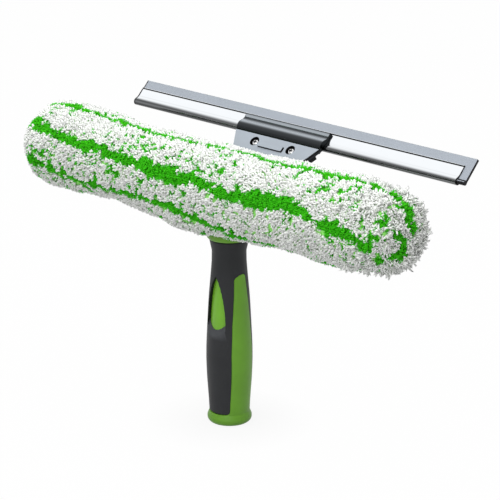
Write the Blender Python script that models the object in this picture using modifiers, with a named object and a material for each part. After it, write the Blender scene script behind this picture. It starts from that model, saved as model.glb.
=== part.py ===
"""Two-in-one window washer: a microfibre sleeve on a T-bar and a squeegee on one handle.

The part stands on the foot of its handle. X runs along the sleeve, +Y points to the
squeegee at the back, and Z runs up the handle. Lengths are in metres, and the MM factor
lets them be written in millimetres. The pieces are drawn in the handle's own frame, with
the handle's axis at x = y = 0, and hang on one empty that puts the middle of the whole
tool over the origin.
"""

import math

import bmesh
import bpy
from mathutils import Matrix, Vector

MM = 0.001

# Gaps
GAP = 0.3 * MM  # between pieces that touch on the real tool
PAST_HEAD = 160.0 * MM  # longer than the head frame, for the shapes that trim it

# Handle: foot ring, grip and collar
FOOT_RADIUS = 18.0 * MM
FOOT_ROUND = 4.0 * MM
FOOT_TOP_RADIUS = 16.4 * MM
FOOT_HEIGHT = 9.3 * MM
GRIP_LENGTH = 144.8 * MM
GRIP_WALL = 2.5 * MM
GRIP_EDGE_ROUND = 0.8 * MM
GRIP_SHAPE = (  # share of the grip's length from its foot end, radius
    (0.00, 16.3 * MM),
    (0.09, 17.0 * MM),
    (0.18, 18.0 * MM),
    (0.34, 18.7 * MM),
    (0.53, 17.6 * MM),
    (0.68, 16.3 * MM),
    (0.82, 14.5 * MM),
    (0.90, 13.8 * MM),
    (0.96, 14.2 * MM),
    (1.00, 16.0 * MM),
)
COLLAR_RADIUS = 18.3 * MM
COLLAR_FLARE_HEIGHT = 4.0 * MM
COLLAR_HEIGHT = 9.0 * MM
COLLAR_ROUND = 1.5 * MM

# Side windows of the grip, where lands of the core lie flush: (forward of the axis, height)
WINDOW_FOOT_CORNER = 3.0 * MM
WINDOW_FOOT_SINK = 2.1 * MM  # below the grip's foot
WINDOW_FRONT = (  # front edge of the window: how far forward at the foot, then points going up
    11.0 * MM,
    (11.2 * MM, 30.0 * MM),
    (11.6 * MM, 61.0 * MM),
    (10.2 * MM, 87.0 * MM),
    (7.9 * MM, 113.0 * MM),
    (7.1 * MM, 123.4 * MM),
)
WINDOW_TOP = (
    (6.0 * MM, 125.0 * MM),
    (3.2 * MM, 126.6 * MM),
    (0.4 * MM, 127.2 * MM),
    (-2.0 * MM, 127.2 * MM),
)
WINDOW_BACK = (  # back edge, from the top down
    (-3.4 * MM, 125.2 * MM),
    (-4.8 * MM, 111.0 * MM),
    (-7.6 * MM, 87.0 * MM),
    (-9.9 * MM, 61.0 * MM),
    (-11.0 * MM, 35.0 * MM),
    -11.4 * MM,
)

# Teardrop thumb window at the front of the grip
TEARDROP_TIP = 125.2 * MM
TEARDROP_BOTTOM = 80.0 * MM  # where the sloping ledge meets the grip's outside
TEARDROP_HALF_WIDTH = 10.2 * MM
TEARDROP_CORNER = 2.2 * MM
TEARDROP_LEDGE_SLOPE = 1.69  # rise of the ledge for each millimetre inwards

# Bores of the handle
POLE_SOCKET_MOUTH = 11.0 * MM
POLE_SOCKET_END = 10.2 * MM
POLE_SOCKET_DEPTH = 74.0 * MM
SOCKET_CHAMFER = 0.8 * MM
WEB_THICKNESS = 4.0 * MM
SPIGOT_RADIUS = 8.0 * MM
SPIGOT_END_ROOM = 3.0 * MM  # between the web and the spigot's end
KEY_WIDTH = 3.0 * MM
KEY_HEIGHT = 1.2 * MM
KEY_LENGTH = 12.0 * MM
HANDLE_SCREW_RADIUS = 2.5 * MM
HANDLE_SCREW_LENGTH = 36.0 * MM
HANDLE_SCREW_HEAD_RADIUS = 4.75 * MM
HANDLE_SCREW_HEAD_HEIGHT = 3.2 * MM
WASHER_RADIUS = 7.5 * MM
WASHER_THICKNESS = 1.2 * MM
RECESS_WIDTH = 1.1 * MM  # one slot of a cross recess
RECESS_DEPTH = 1.0 * MM

# Head frame
FLANGE_RADIUS = 17.0 * MM
FLANGE_HEIGHT = 2.8 * MM
NECK_HALF_WIDTH = 18.0 * MM
SPINE_HALF_WIDTH = 25.5 * MM
SPINE_DEPTH = 15.0 * MM  # below the plate's outer face
SPINE_START = 1.5 * MM  # down the plate
SPINE_WIDE_END = 22.0 * MM
SPINE_NECK_START = 40.0 * MM
SPINE_BACK_END = 24.0 * MM
ARM_BACK = ((31.0 * MM, 20.0 * MM), (20.5 * MM, 10.0 * MM))  # behind the axis, above the flange's foot
STEM_FRONT = 12.0 * MM  # foot of the stem, in front of the handle's axis
STEM_BACK = (2.5 * MM, 13.0 * MM)  # behind the axis, above the flange's foot
SADDLE_FRONT_ANGLE = math.radians(-92.0)
SADDLE_BACK_ANGLE = math.radians(-40.0)
ARM_FOOT_ANGLE = math.radians(-49.4)
WING_DEPTH_TOP = 7.0 * MM  # wing's underside below the plate's outer face
WING_DEPTH_MIDDLE = 6.9 * MM
WING_MIDDLE = 20.0 * MM
WING_DEPTH_END = 9.0 * MM
LOWER_JAW_START = 9.5 * MM  # from the blade's tip
LOWER_JAW_LIP = 1.7 * MM
LOWER_JAW_ROOT = 3.2 * MM
LOWER_JAW_HALF_WIDTH = 38.0 * MM
LOWER_JAW_END = 1.0 * MM  # down the plate
WING_WIDE_START = 5.0 * MM  # where the wing reaches the plate's edge

# Clamp: a flat face plate on the backing of the curved upper jaw
PLATE_BACK = 53.6 * MM  # its top edge behind the handle's axis
PLATE_RISE = 61.0 * MM  # and above the flange's foot
PLATE_ANGLE = math.radians(40.5)  # above the horizontal, rising to the back
PLATE_LENGTH = 44.0 * MM
PLATE_THICKNESS = 1.6 * MM
BACKING_THICKNESS = 2.0 * MM
PLATE_HALF_WIDTH_TOP = 45.9 * MM
PLATE_HALF_WIDTH_END = 22.1 * MM
JAW_HALF_WIDTH = PLATE_HALF_WIDTH_TOP + 0.6 * MM
RIM_LENGTH = 2.2 * MM
JAW_START = 9.2 * MM  # from the blade's tip
JAW_LIP = 2.0 * MM
JAW_FILLET = 4.0 * MM
JAW_TUBE_RADIUS = 7.0 * MM
JAW_GROOVE = 0.5 * MM

# Clamp fasteners
CLAMP_SCREW_SPREAD = 19.8 * MM  # each side of the middle
CLAMP_SCREW_DOWN = 6.8 * MM
CLAMP_SCREW_RADIUS = 1.5 * MM
CLAMP_SCREW_LENGTH = 11.0 * MM
CLAMP_HEAD_RADIUS = 2.9 * MM
CLAMP_HEAD_HEIGHT = 1.5 * MM
COUNTERBORE_RADIUS = 4.25 * MM
COUNTERBORE_DEPTH = 2.5 * MM
NUT_WIDTH = 5.5 * MM
NUT_HEIGHT = 2.4 * MM
NUT_DEPTH = 8.2 * MM  # its top face below the plate's outer face

# Lock button: a raised tab between the screws, and a hook that grips the channel's tube from below
TAB_HALF_WIDTH = 12.8 * MM
TAB_START = 6.5 * MM
TAB_LENGTH = 4.4 * MM
TAB_HEIGHT = 1.5 * MM
LOCK_TRAVEL = 1.5 * MM
LIP_WIDTH = 2.5 * MM
LIP_THICKNESS = 1.6 * MM
HOOK_HALF_WIDTH = 8.0 * MM
HOOK_POST = (1.8 * MM, 4.8 * MM)  # from and to, down the plate
HOOK_REACH = 2.1 * MM  # past the tube's middle
HOOK_THICKNESS = 2.3 * MM
HOUSING_WALL = 1.4 * MM  # of the frame round the hook
SPRING_DOWN = 9.6 * MM
SPRING_RADIUS = 2.9 * MM
SPRING_WIRE = 0.8 * MM
SPRING_TURNS = 5
SPRING_LENGTH = 7.4 * MM
SPRING_PIN_RADIUS = 1.8 * MM
SPRING_PIN_LENGTH = 2.4 * MM

# Squeegee
BLADE_ANGLE = math.radians(47.0)
CHANNEL_LENGTH = 355.0 * MM
CHANNEL_WALL = 0.8 * MM
CHANNEL_SIDESTEP = 3.4 * MM  # the photographed channel sits a little to the right in its clamp
TUBE_AHEAD = 5.5 * MM  # tube's middle before the plate's top edge
TUBE_DEPTH = 5.2 * MM  # and below the plate's outer face
RUBBER_THICKNESS = 2.3 * MM
RUBBER_LENGTH = 362.5 * MM
RUBBER_OVERHANG_LEFT = 0.4 * MM
RUBBER_EXPOSED = 7.8 * MM
BULB_DOWN = 20.9 * MM  # bulb's middle from the tip
BULB_OFFSET = -0.6 * MM  # bulb's middle from the rubber's front face
BULB_RADIUS = 2.0 * MM
CHANNEL_FILLET = 8.0 * MM

# T-bar
BAR_FORWARD = 18.2 * MM  # its axis in front of the handle's
BAR_RISE = 38.3 * MM  # and above the flange's foot
BAR_LENGTH = 355.0 * MM
BAR_RADIUS = 19.0 * MM
BAR_WALL = 2.4 * MM
CAP_THICKNESS = 2.0 * MM
CAP_PLUG_LENGTH = 6.5 * MM
CAP_PLUG_WALL = 2.0 * MM
BAR_SCREW_INSETS = (15.5 * MM, 72.5 * MM, 132.5 * MM)  # from each end of the bar
BAR_SCREW_RADIUS = 1.6 * MM
BAR_SCREW_LENGTH = 24.0 * MM
BAR_SCREW_HEAD_RADIUS = 3.0 * MM
BAR_SCREW_HEAD_HEIGHT = 2.0 * MM
BAR_SCREW_SEAT = 14.0 * MM  # head's seat in front of the bar's axis
BOSS_RADIUS = 4.2 * MM
WATER_HOLE_RADIUS = 4.5 * MM
WATER_HOLE_INSETS = (32.5 * MM, 52.5 * MM, 92.5 * MM, 112.5 * MM, 157.5 * MM)
STEM_SCREW_SPREAD = 9.0 * MM
STEM_SCREW_ANGLE = math.radians(-66.0)
STEM_SCREW_RADIUS = 1.9 * MM
STEM_SCREW_LENGTH = 16.0 * MM
STEM_SCREW_HEAD_RADIUS = 3.6 * MM
STEM_SCREW_HEAD_HEIGHT = 2.2 * MM

# Sleeve and its closure
SLEEVE_RADIUS = 35.0 * MM
SLEEVE_PAST_BAR = 24.0 * MM  # at each end
SLEEVE_END_LENGTH = 26.0 * MM
SLEEVE_END_POWER = 2.3  # 2 would be an elliptic end
SLEEVE_STATION = 17.0 * MM  # spacing of the sleeve's cross sections
SLEEVE_FORM = (  # share of the half length, change of radius on top, change under the front
    (-1.00, 0.4 * MM, 2.6 * MM),
    (-0.88, 0.6 * MM, 2.6 * MM),
    (-0.72, 1.4 * MM, 0.8 * MM),
    (-0.45, -2.6 * MM, -1.5 * MM),
    (-0.15, -2.5 * MM, 4.6 * MM),
    (0.05, -2.3 * MM, 5.8 * MM),
    (0.30, -1.8 * MM, 0.8 * MM),
    (0.54, -0.6 * MM, -2.0 * MM),
    (0.74, 0.7 * MM, -0.3 * MM),
    (0.90, 1.5 * MM, -0.5 * MM),
    (1.00, 1.0 * MM, -0.5 * MM),
)
SLEEVE_TOP_LOBE = (100.0, 75.0, 75.0)  # angle up from the front, and reach to each side, in degrees
SLEEVE_LOW_LOBE = (-62.0, 26.0, 52.0)
SLEEVE_ARM_ROOM = 1.5 * MM  # between the pile and the head frame's arm
SLOT_ROOM = 0.6 * MM
TAPE_ANGLE = math.radians(-70.0)
TAPE_WIDTH = 18.0 * MM
TAPE_THICKNESS = 0.9 * MM
TAPE_START = 24.0 * MM
TAPE_LENGTH = 126.0 * MM

# Places that follow from the sizes above
BAR_SCREW_PLACES = [BAR_LENGTH / 2 - inset for inset in BAR_SCREW_INSETS]
BAR_SCREW_PLACES = [-x for x in BAR_SCREW_PLACES] + BAR_SCREW_PLACES[::-1]
WATER_HOLE_PLACES = [BAR_LENGTH / 2 - inset for inset in WATER_HOLE_INSETS]
SLEEVE_LENGTH = BAR_LENGTH + 2 * SLEEVE_PAST_BAR
GRIP_FOOT = FOOT_HEIGHT + GAP
GRIP_TOP = GRIP_FOOT + GRIP_LENGTH
COLLAR_FOOT = GRIP_TOP + GAP
COLLAR_TOP = COLLAR_FOOT + COLLAR_HEIGHT
HEAD_FOOT = COLLAR_TOP + GAP
BAR_AXIS = Vector((-BAR_FORWARD, HEAD_FOOT + BAR_RISE))
PLATE_TOP = Vector((PLATE_BACK, HEAD_FOOT + PLATE_RISE))
PLATE_DOWN = Vector((-math.cos(PLATE_ANGLE), -math.sin(PLATE_ANGLE)))
PLATE_OUT = Vector((-math.sin(PLATE_ANGLE), math.cos(PLATE_ANGLE)))
BLADE_DOWN = Vector((-math.cos(BLADE_ANGLE), -math.sin(BLADE_ANGLE)))
BLADE_OUT = Vector((-math.sin(BLADE_ANGLE), math.cos(BLADE_ANGLE)))
TUBE_AXIS = PLATE_TOP - PLATE_DOWN * TUBE_AHEAD - PLATE_OUT * TUBE_DEPTH
BLADE_TIP = TUBE_AXIS - BLADE_DOWN * BULB_DOWN - BLADE_OUT * BULB_OFFSET
TUBE_INNER_RADIUS = BULB_RADIUS + GAP
TUBE_OUTER_RADIUS = TUBE_INNER_RADIUS + CHANNEL_WALL
BACKING_TOP_DEPTH = PLATE_THICKNESS + GAP
BACKING_FOOT_DEPTH = BACKING_TOP_DEPTH + BACKING_THICKNESS
FRAME_TOP_DEPTH = BACKING_FOOT_DEPTH + GAP  # head frame's bed below the plate's outer face
TAB_END = TAB_START + TAB_LENGTH
FRONT_REACH = BAR_FORWARD + SLEEVE_RADIUS
BACK_REACH = BLADE_TIP.x + RUBBER_THICKNESS * math.sin(BLADE_ANGLE)

# Side views are drawn as (y, z) and stretched along X
SIDE_VIEW = Matrix(((0, 0, 1, 0), (1, 0, 0, 0), (0, 1, 0, 0), (0, 0, 0, 1)))
ALONG_X = Matrix.Rotation(math.radians(90), 4, "Y")
PLATE_VIEW = Matrix(
    (
        (1, 0, 0, 0),
        (0, -PLATE_DOWN.x, PLATE_OUT.x, PLATE_TOP.x),
        (0, -PLATE_DOWN.y, PLATE_OUT.y, PLATE_TOP.y),
        (0, 0, 0, 1),
    )
)


def plate_yz(down, height):
    """Side-view point from its distance down the plate and its height over the plate."""
    return tuple(PLATE_TOP + PLATE_DOWN * down + PLATE_OUT * height)


def blade_yz(down, height):
    """Side-view point from its distance down the blade and in front of the rubber's face."""
    return tuple(BLADE_TIP + BLADE_DOWN * down + BLADE_OUT * height)


def above_head_foot(y, rise):
    """Side-view point given by its height above the flange's foot."""
    return (y, HEAD_FOOT + rise)


def arc(centre, radius, start, end, steps):
    """Points on an arc, from the start angle to the end angle."""
    angles = [start + (end - start) * i / steps for i in range(steps + 1)]
    return [(centre[0] + radius * math.cos(a), centre[1] + radius * math.sin(a)) for a in angles]


def grown(outline, distance):
    """The closed outline with each side moved outwards by the distance."""
    area = sum(a[0] * b[1] - b[0] * a[1] for a, b in zip(outline, outline[1:] + outline[:1]))
    turn = 1 if area > 0 else -1
    result = []
    for i, point in enumerate(outline):
        before = (Vector(point) - Vector(outline[i - 1])).normalized()
        after = (Vector(outline[(i + 1) % len(outline)]) - Vector(point)).normalized()
        normal_before = Vector((before.y, -before.x)) * turn
        normal_after = Vector((after.y, -after.x)) * turn
        mitre = (normal_before + normal_after).normalized()
        result.append(tuple(Vector(point) + mitre * distance / max(0.3, mitre.dot(normal_before))))
    return result


def smooth_value(points, x):
    """Smooth curve through the points (x, value), read at x."""
    points = list(points)
    i = max(k for k in range(len(points) - 1) if k == 0 or points[k][0] <= x)
    (x0, v0), (x1, v1) = points[i], points[i + 1]
    before = points[i - 1] if i > 0 else points[i]
    after = points[i + 2] if i + 2 < len(points) else points[i + 1]
    slope0 = (v1 - before[1]) / (x1 - before[0])
    slope1 = (after[1] - v0) / (after[0] - x0)
    t = (x - x0) / (x1 - x0)
    width = x1 - x0
    return (
        (2 * t**3 - 3 * t**2 + 1) * v0
        + (t**3 - 2 * t**2 + t) * width * slope0
        + (3 * t**2 - 2 * t**3) * v1
        + (t**3 - t**2) * width * slope1
    )


def grip_radius(height):
    """Outer radius of the grip at a height above the floor."""
    share = min(1.0, max(0.0, (height - GRIP_FOOT) / GRIP_LENGTH))
    return smooth_value(GRIP_SHAPE, share)


def empty_scene():
    """Remove what the file holds and make the two collections and the carrying empty."""
    for obj in list(bpy.data.objects):
        bpy.data.objects.remove(obj, do_unlink=True)
    parts = bpy.data.collections.new("window_washer")
    cutters = bpy.data.collections.new("cutters")
    bpy.context.scene.collection.children.link(parts)
    bpy.context.scene.collection.children.link(cutters)
    stand = bpy.data.objects.new("tool_on_floor", None)
    stand.location.y = (FRONT_REACH - BACK_REACH) / 2
    parts.objects.link(stand)
    return parts, cutters, stand


PARTS, CUTTERS, STAND = empty_scene()


def add(name, data, matrix=None):
    """Put a new object on the carrying empty."""
    obj = bpy.data.objects.new(name, data)
    PARTS.objects.link(obj)
    obj.parent = STAND
    obj.matrix_local = matrix or Matrix()
    return obj


def plain_mesh(obj):
    """Turn a curve or a modified object into a plain welded mesh in the tool's frame."""
    graph = bpy.context.evaluated_depsgraph_get()
    mesh = bpy.data.meshes.new_from_object(obj.evaluated_get(graph))
    mesh.transform(obj.matrix_local)
    name = obj.name
    bpy.data.objects.remove(obj, do_unlink=True)
    body = bmesh.new()
    body.from_mesh(mesh)
    bmesh.ops.remove_doubles(body, verts=body.verts, dist=0.001 * MM)
    bmesh.ops.recalc_face_normals(body, faces=body.faces)
    body.to_mesh(mesh)
    body.free()
    return add(name, mesh)


def prism(name, outline, depth, view, middle=0.0):
    """A flat outline stretched to both sides of the view's plane."""
    curve = bpy.data.curves.new(name, "CURVE")
    curve.dimensions = "2D"
    curve.fill_mode = "BOTH"
    curve.extrude = depth / 2
    spline = curve.splines.new("POLY")
    spline.points.add(len(outline) - 1)
    for point, (a, b) in zip(spline.points, outline):
        point.co = (a, b, 0.0, 1.0)
    spline.use_cyclic_u = True
    return plain_mesh(add(name, curve, view @ Matrix.Translation((0, 0, middle))))


def turned(name, profile, segments, matrix=None):
    """A profile of (radius, height), top to bottom along its outer side, turned about Z."""
    mesh = bpy.data.meshes.new(name)
    mesh.from_pydata([(r, 0.0, z) for r, z in profile], [(i, i + 1) for i in range(len(profile) - 1)], [])
    obj = add(name, mesh)
    screw = obj.modifiers.new("turn", "SCREW")
    screw.axis = "Z"
    screw.angle = math.tau
    screw.steps = segments
    screw.render_steps = segments
    screw.use_merge_vertices = True
    screw.merge_threshold = 0.01 * MM
    obj.matrix_local = matrix or Matrix()
    return plain_mesh(obj)


def cylinder(name, radius, bottom, top, matrix=None, segments=24):
    """A closed cylinder between two heights of the given frame."""
    mesh = bpy.data.meshes.new(name)
    body = bmesh.new()
    bmesh.ops.create_cone(
        body, cap_ends=True, segments=segments, radius1=radius, radius2=radius, depth=top - bottom
    )
    bmesh.ops.translate(body, verts=body.verts, vec=(0, 0, (top + bottom) / 2))
    bmesh.ops.transform(body, verts=body.verts, matrix=matrix or Matrix())
    body.to_mesh(mesh)
    body.free()
    return add(name, mesh)


def block(name, low, high, matrix=None):
    """A box between two corners of the given frame."""
    mesh = bpy.data.meshes.new(name)
    body = bmesh.new()
    bmesh.ops.create_cube(body, size=1.0)
    low, high = Vector(low), Vector(high)
    bmesh.ops.scale(body, verts=body.verts, vec=high - low)
    bmesh.ops.translate(body, verts=body.verts, vec=(low + high) / 2)
    bmesh.ops.transform(body, verts=body.verts, matrix=matrix or Matrix())
    body.to_mesh(mesh)
    body.free()
    return add(name, mesh)


def loft(name, sections):
    """A closed body between two outlines that have the same number of points."""
    mesh = bpy.data.meshes.new(name)
    body = bmesh.new()
    rings = [[body.verts.new(point) for point in section] for section in sections]
    count = len(rings[0])
    for i in range(count):
        j = (i + 1) % count
        body.faces.new((rings[0][i], rings[0][j], rings[1][j], rings[1][i]))
    body.faces.new(rings[0])
    body.faces.new(rings[1])
    bmesh.ops.recalc_face_normals(body, faces=body.faces)
    body.to_mesh(mesh)
    body.free()
    return add(name, mesh)


def combine(target, operation, *tools):
    """Cut, join or intersect the target with each tool, which becomes a hidden cutter."""
    for tool in tools:
        if tool.name in PARTS.objects:
            PARTS.objects.unlink(tool)
            CUTTERS.objects.link(tool)
        tool.hide_render = True
        tool.display_type = "WIRE"
        step = target.modifiers.new(tool.name, "BOOLEAN")
        step.operation = operation
        step.solver = "EXACT"
        step.object = tool
    return target


def placed_copies(body, places):
    """One object for each named place, all sharing the body's mesh."""
    body = plain_mesh(body)
    mesh = body.data
    bpy.data.objects.remove(body, do_unlink=True)
    return [add(name, mesh, place) for name, place in places.items()]


def set_origin(obj, point):
    """Move the object's origin to a point of the tool's frame, on its joint's axis."""
    obj.data.transform(Matrix.Translation(-Vector(point)))
    obj.location = point
    return obj


def finish(obj, colour, roughness, metallic=0.0, smooth=True):
    """Give the object its own material and shading."""
    material = bpy.data.materials.new(obj.name)
    material.use_nodes = True
    shader = material.node_tree.nodes["Principled BSDF"]
    shader.inputs["Base Color"].default_value = (*colour, 1.0)
    shader.inputs["Roughness"].default_value = roughness
    shader.inputs["Metallic"].default_value = metallic
    obj.data.materials.clear()
    obj.data.materials.append(material)
    obj.data.shade_flat()
    if smooth:
        obj.data.shade_smooth()
        obj.data.set_sharp_from_angle(angle=math.radians(35))
    return obj


GREEN = (0.10, 0.25, 0.03)
LIGHT_GREY = (0.45, 0.48, 0.53)
DARK = (0.022, 0.024, 0.027)
STEEL = (0.75, 0.76, 0.78)


def teardrop(bottom, y):
    """Outline of the thumb window, curved round the grip, with its middle at a depth y."""
    outer = grip_radius(TEARDROP_BOTTOM)
    steps = 9
    right = []
    for i in range(1, steps + 1):
        height = TEARDROP_TIP - (TEARDROP_TIP - bottom - TEARDROP_CORNER) * i / steps
        share = (TEARDROP_TIP - height) / (TEARDROP_TIP - bottom)
        right.append((TEARDROP_HALF_WIDTH * math.sin(math.pi / 2 * share**0.75), height))
    corner = (right[-1][0] - TEARDROP_CORNER, bottom + TEARDROP_CORNER)
    right += arc(corner, TEARDROP_CORNER, 0, -math.pi / 2, 4)[1:]
    left = [(-x, z) for x, z in reversed(right)]
    outline = [(0.0, TEARDROP_TIP), *right, *left]
    return [(x, y + outer - math.sqrt(max(0.0, outer**2 - x**2)), z) for x, z in outline]


def side_window():
    """Side view of the grip's windows, open at the foot, where the grip's corners are round."""
    corner, sink = WINDOW_FOOT_CORNER, GRIP_FOOT - WINDOW_FOOT_SINK
    front_foot, back_foot = WINDOW_FRONT[0], WINDOW_BACK[-1]
    centre_height = GRIP_FOOT + corner
    front_corner = arc((front_foot + corner, centre_height), corner, -math.pi / 2, -math.pi, 4)
    back_corner = arc((back_foot - corner, centre_height), corner, 0, -math.pi / 2, 4)
    outline = [(front_foot + corner, sink), *front_corner, *WINDOW_FRONT[1:], *WINDOW_TOP]
    outline += [*WINDOW_BACK[:-1], *back_corner, (back_foot - corner, sink)]
    return [(-forward, z) for forward, z in outline]


def grip_line(inset, first, last, steps):
    """Profile points along the grip's outside, moved in by the inset, from high to low."""
    heights = [last + (first - last) * i / steps for i in range(steps + 1)]
    return [(grip_radius(z) - inset, z) for z in heights]


def cross_recess(name, head_radius, top, matrix=None):
    """Two crossed slots for the top of a screw head."""
    reach = head_radius * 0.62
    half = RECESS_WIDTH / 2
    first = block(name + "_a", (-reach, -half, top - RECESS_DEPTH), (reach, half, top + MM), matrix)
    second = block(name + "_b", (-half, -reach, top - RECESS_DEPTH), (half, reach, top + MM), matrix)
    return first, second


def screw_profile(head_radius, head_height, radius, length):
    """Pan-head screw, head up, with the head's seat at height 0."""
    return [
        (0.0, head_height),
        (head_radius * 0.6, head_height),
        (head_radius * 0.9, head_height * 0.7),
        (head_radius, head_height * 0.3),
        (head_radius, 0.0),
        (radius, 0.0),
        (radius, -length + radius),
        (radius * 0.35, -length),
        (0.0, -length),
    ]


def handle_core():
    """Hard core with foot ring, socket for a pole, flush side lands and flared collar."""
    foot_round = arc((FOOT_RADIUS - FOOT_ROUND, FOOT_ROUND), FOOT_ROUND, 0, -math.pi / 2, 6)
    flare = [
        (
            grip_radius(GRIP_TOP) + (COLLAR_RADIUS - grip_radius(GRIP_TOP)) * math.sin(a),
            COLLAR_FOOT + COLLAR_FLARE_HEIGHT * (1 - math.cos(a)),
        )
        for a in (math.radians(90 - 15 * i) for i in range(7))
    ]
    body = turned(
        "handle_core",
        [(0.0, COLLAR_TOP), (COLLAR_RADIUS - COLLAR_ROUND, COLLAR_TOP)]
        + [(COLLAR_RADIUS, COLLAR_TOP - COLLAR_ROUND)]
        + flare
        + grip_line(GRIP_WALL + GAP, GRIP_FOOT - GAP, GRIP_TOP + GAP, 12)
        + [(FOOT_TOP_RADIUS, FOOT_HEIGHT), (FOOT_RADIUS, FOOT_ROUND + 1.5 * MM)]
        + foot_round
        + [(0.0, 0.0)],
        36,
    )
    lands = turned("core_land_skin", grip_skin_profile(), 36)
    combine(lands, "INTERSECT", prism("core_land_outline", side_window(), 60 * MM, SIDE_VIEW))
    combine(body, "UNION", lands)
    mouth_round = POLE_SOCKET_MOUTH + SOCKET_CHAMFER
    socket = turned(
        "pole_socket",
        [
            (0.0, POLE_SOCKET_DEPTH),
            (POLE_SOCKET_END, POLE_SOCKET_DEPTH),
            (POLE_SOCKET_MOUTH, SOCKET_CHAMFER),
            (mouth_round, 0.0),
            (mouth_round, -MM),
            (0.0, -MM),
        ],
        32,
    )
    web_top = POLE_SOCKET_DEPTH + WEB_THICKNESS
    spigot_bore = cylinder("spigot_bore", SPIGOT_RADIUS + GAP, web_top, COLLAR_TOP + MM, segments=32)
    screw_hole = cylinder("web_hole", HANDLE_SCREW_RADIUS + GAP, POLE_SOCKET_DEPTH - MM, web_top + MM)
    keyway = block(
        "keyway",
        (-KEY_WIDTH / 2 - GAP, 0.0, COLLAR_TOP - KEY_LENGTH - GAP),
        (KEY_WIDTH / 2 + GAP, SPIGOT_RADIUS + KEY_HEIGHT + GAP, COLLAR_TOP + MM),
    )
    combine(spigot_bore, "UNION", keyway)
    combine(body, "DIFFERENCE", socket, spigot_bore, screw_hole)
    return finish(body, GREEN, 0.35)


def grip_skin_profile():
    """Closed profile of the whole grip's outside, used for the lands of the core."""
    line = grip_line(0.0, GRIP_FOOT - 1.5 * MM, GRIP_TOP - 10 * MM, 14)
    return [(0.0, line[0][1]), *line, (0.0, line[-1][1])]


def grip_overmould():
    """Soft grip round the core, with its teardrop window and two side windows."""
    outside = grip_line(0.0, GRIP_FOOT + GRIP_EDGE_ROUND, GRIP_TOP - GRIP_EDGE_ROUND, 16)
    inside = grip_line(GRIP_WALL, GRIP_FOOT, GRIP_TOP, 12)
    top = [(grip_radius(GRIP_TOP) - GRIP_EDGE_ROUND, GRIP_TOP)]
    foot = [(grip_radius(GRIP_FOOT) - GRIP_EDGE_ROUND, GRIP_FOOT)]
    loop = [inside[0], *top, *outside, *foot, *reversed(inside)]
    body = turned("grip_overmould", loop, 36)
    windows = prism("grip_window_outline", grown(side_window(), GAP), 60 * MM, SIDE_VIEW)
    near, far = -8.0 * MM, -24.0 * MM
    outer_face = -grip_radius(TEARDROP_BOTTOM)
    bottoms = [TEARDROP_BOTTOM + (y - outer_face) * TEARDROP_LEDGE_SLOPE for y in (near, far)]
    thumb = loft("teardrop_cutter", [teardrop(bottoms[0], near), teardrop(bottoms[1], far)])
    combine(body, "DIFFERENCE", windows, thumb)
    return finish(body, DARK, 0.6)


def handle_fasteners():
    """Screw and washer in the pole socket that hold the head frame's spigot."""
    seat = POLE_SOCKET_DEPTH - GAP
    washer = turned(
        "handle_screw_washer",
        [
            (HANDLE_SCREW_RADIUS + GAP, seat),
            (WASHER_RADIUS, seat),
            (WASHER_RADIUS, seat - WASHER_THICKNESS),
            (HANDLE_SCREW_RADIUS + GAP, seat - WASHER_THICKNESS),
            (HANDLE_SCREW_RADIUS + GAP, seat),
        ],
        32,
    )
    head_seat = seat - WASHER_THICKNESS - GAP
    upside_down = Matrix.Translation((0, 0, head_seat)) @ Matrix.Rotation(math.pi, 4, "X")
    profile = screw_profile(
        HANDLE_SCREW_HEAD_RADIUS, HANDLE_SCREW_HEAD_HEIGHT, HANDLE_SCREW_RADIUS, HANDLE_SCREW_LENGTH
    )
    screw = turned("handle_screw", profile, 24, upside_down)
    recess = cross_recess(
        "handle_screw_recess", HANDLE_SCREW_HEAD_RADIUS, HANDLE_SCREW_HEAD_HEIGHT, upside_down
    )
    combine(screw, "DIFFERENCE", *recess)
    finish(washer, STEEL, 0.35, 1.0)
    finish(screw, STEEL, 0.3, 1.0)


def channel_line():
    """Middle line of the channel's sheet, from its front lip round the tube to its back lip."""
    front = GAP + CHANNEL_WALL / 2
    back = -RUBBER_THICKNESS - front
    radius = TUBE_INNER_RADIUS + CHANNEL_WALL / 2
    middle = (BULB_DOWN, BULB_OFFSET)
    rise = front + CHANNEL_FILLET - BULB_OFFSET
    run = math.sqrt((CHANNEL_FILLET + radius) ** 2 - rise**2)
    fillet_middle = (BULB_DOWN - run, front + CHANNEL_FILLET)
    towards_tube = math.atan2(-rise, run)
    on_tube = math.atan2(rise, -run)
    back_turn = math.asin((back - BULB_OFFSET) / radius)
    return (
        [(RUBBER_EXPOSED, front)]
        + arc(fillet_middle, CHANNEL_FILLET, -math.pi / 2, towards_tube, 5)
        + arc(middle, radius, on_tube, -math.pi - back_turn, 18)[1:]
        + [(RUBBER_EXPOSED, back)]
    )


def channel_room():
    """Closed side view of the channel and the room it needs in the clamp."""
    line = [blade_yz(*point) for point in channel_line()]
    return grown(line, CHANNEL_WALL / 2 + GAP)


def squeegee_channel():
    """Metal sheet folded round the rubber, open along the rubber's slot."""
    line = [blade_yz(*point) for point in channel_line()]
    mesh = bpy.data.meshes.new("squeegee_channel")
    half = CHANNEL_LENGTH / 2
    points = [(side * half, y, z) for side in (-1, 1) for y, z in line]
    count = len(line)
    faces = [(i, i + 1, count + i + 1, count + i) for i in range(count - 1)]
    mesh.from_pydata(points, [], faces)
    body = add("squeegee_channel", mesh)
    body.location.x = CHANNEL_SIDESTEP
    sheet = body.modifiers.new("sheet", "SOLIDIFY")
    sheet.thickness = CHANNEL_WALL
    sheet.offset = 0.0
    sheet.use_even_offset = True
    body = plain_mesh(body)
    set_origin(body, (CHANNEL_SIDESTEP, *TUBE_AXIS))
    return finish(body, STEEL, 0.15, 1.0)


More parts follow.
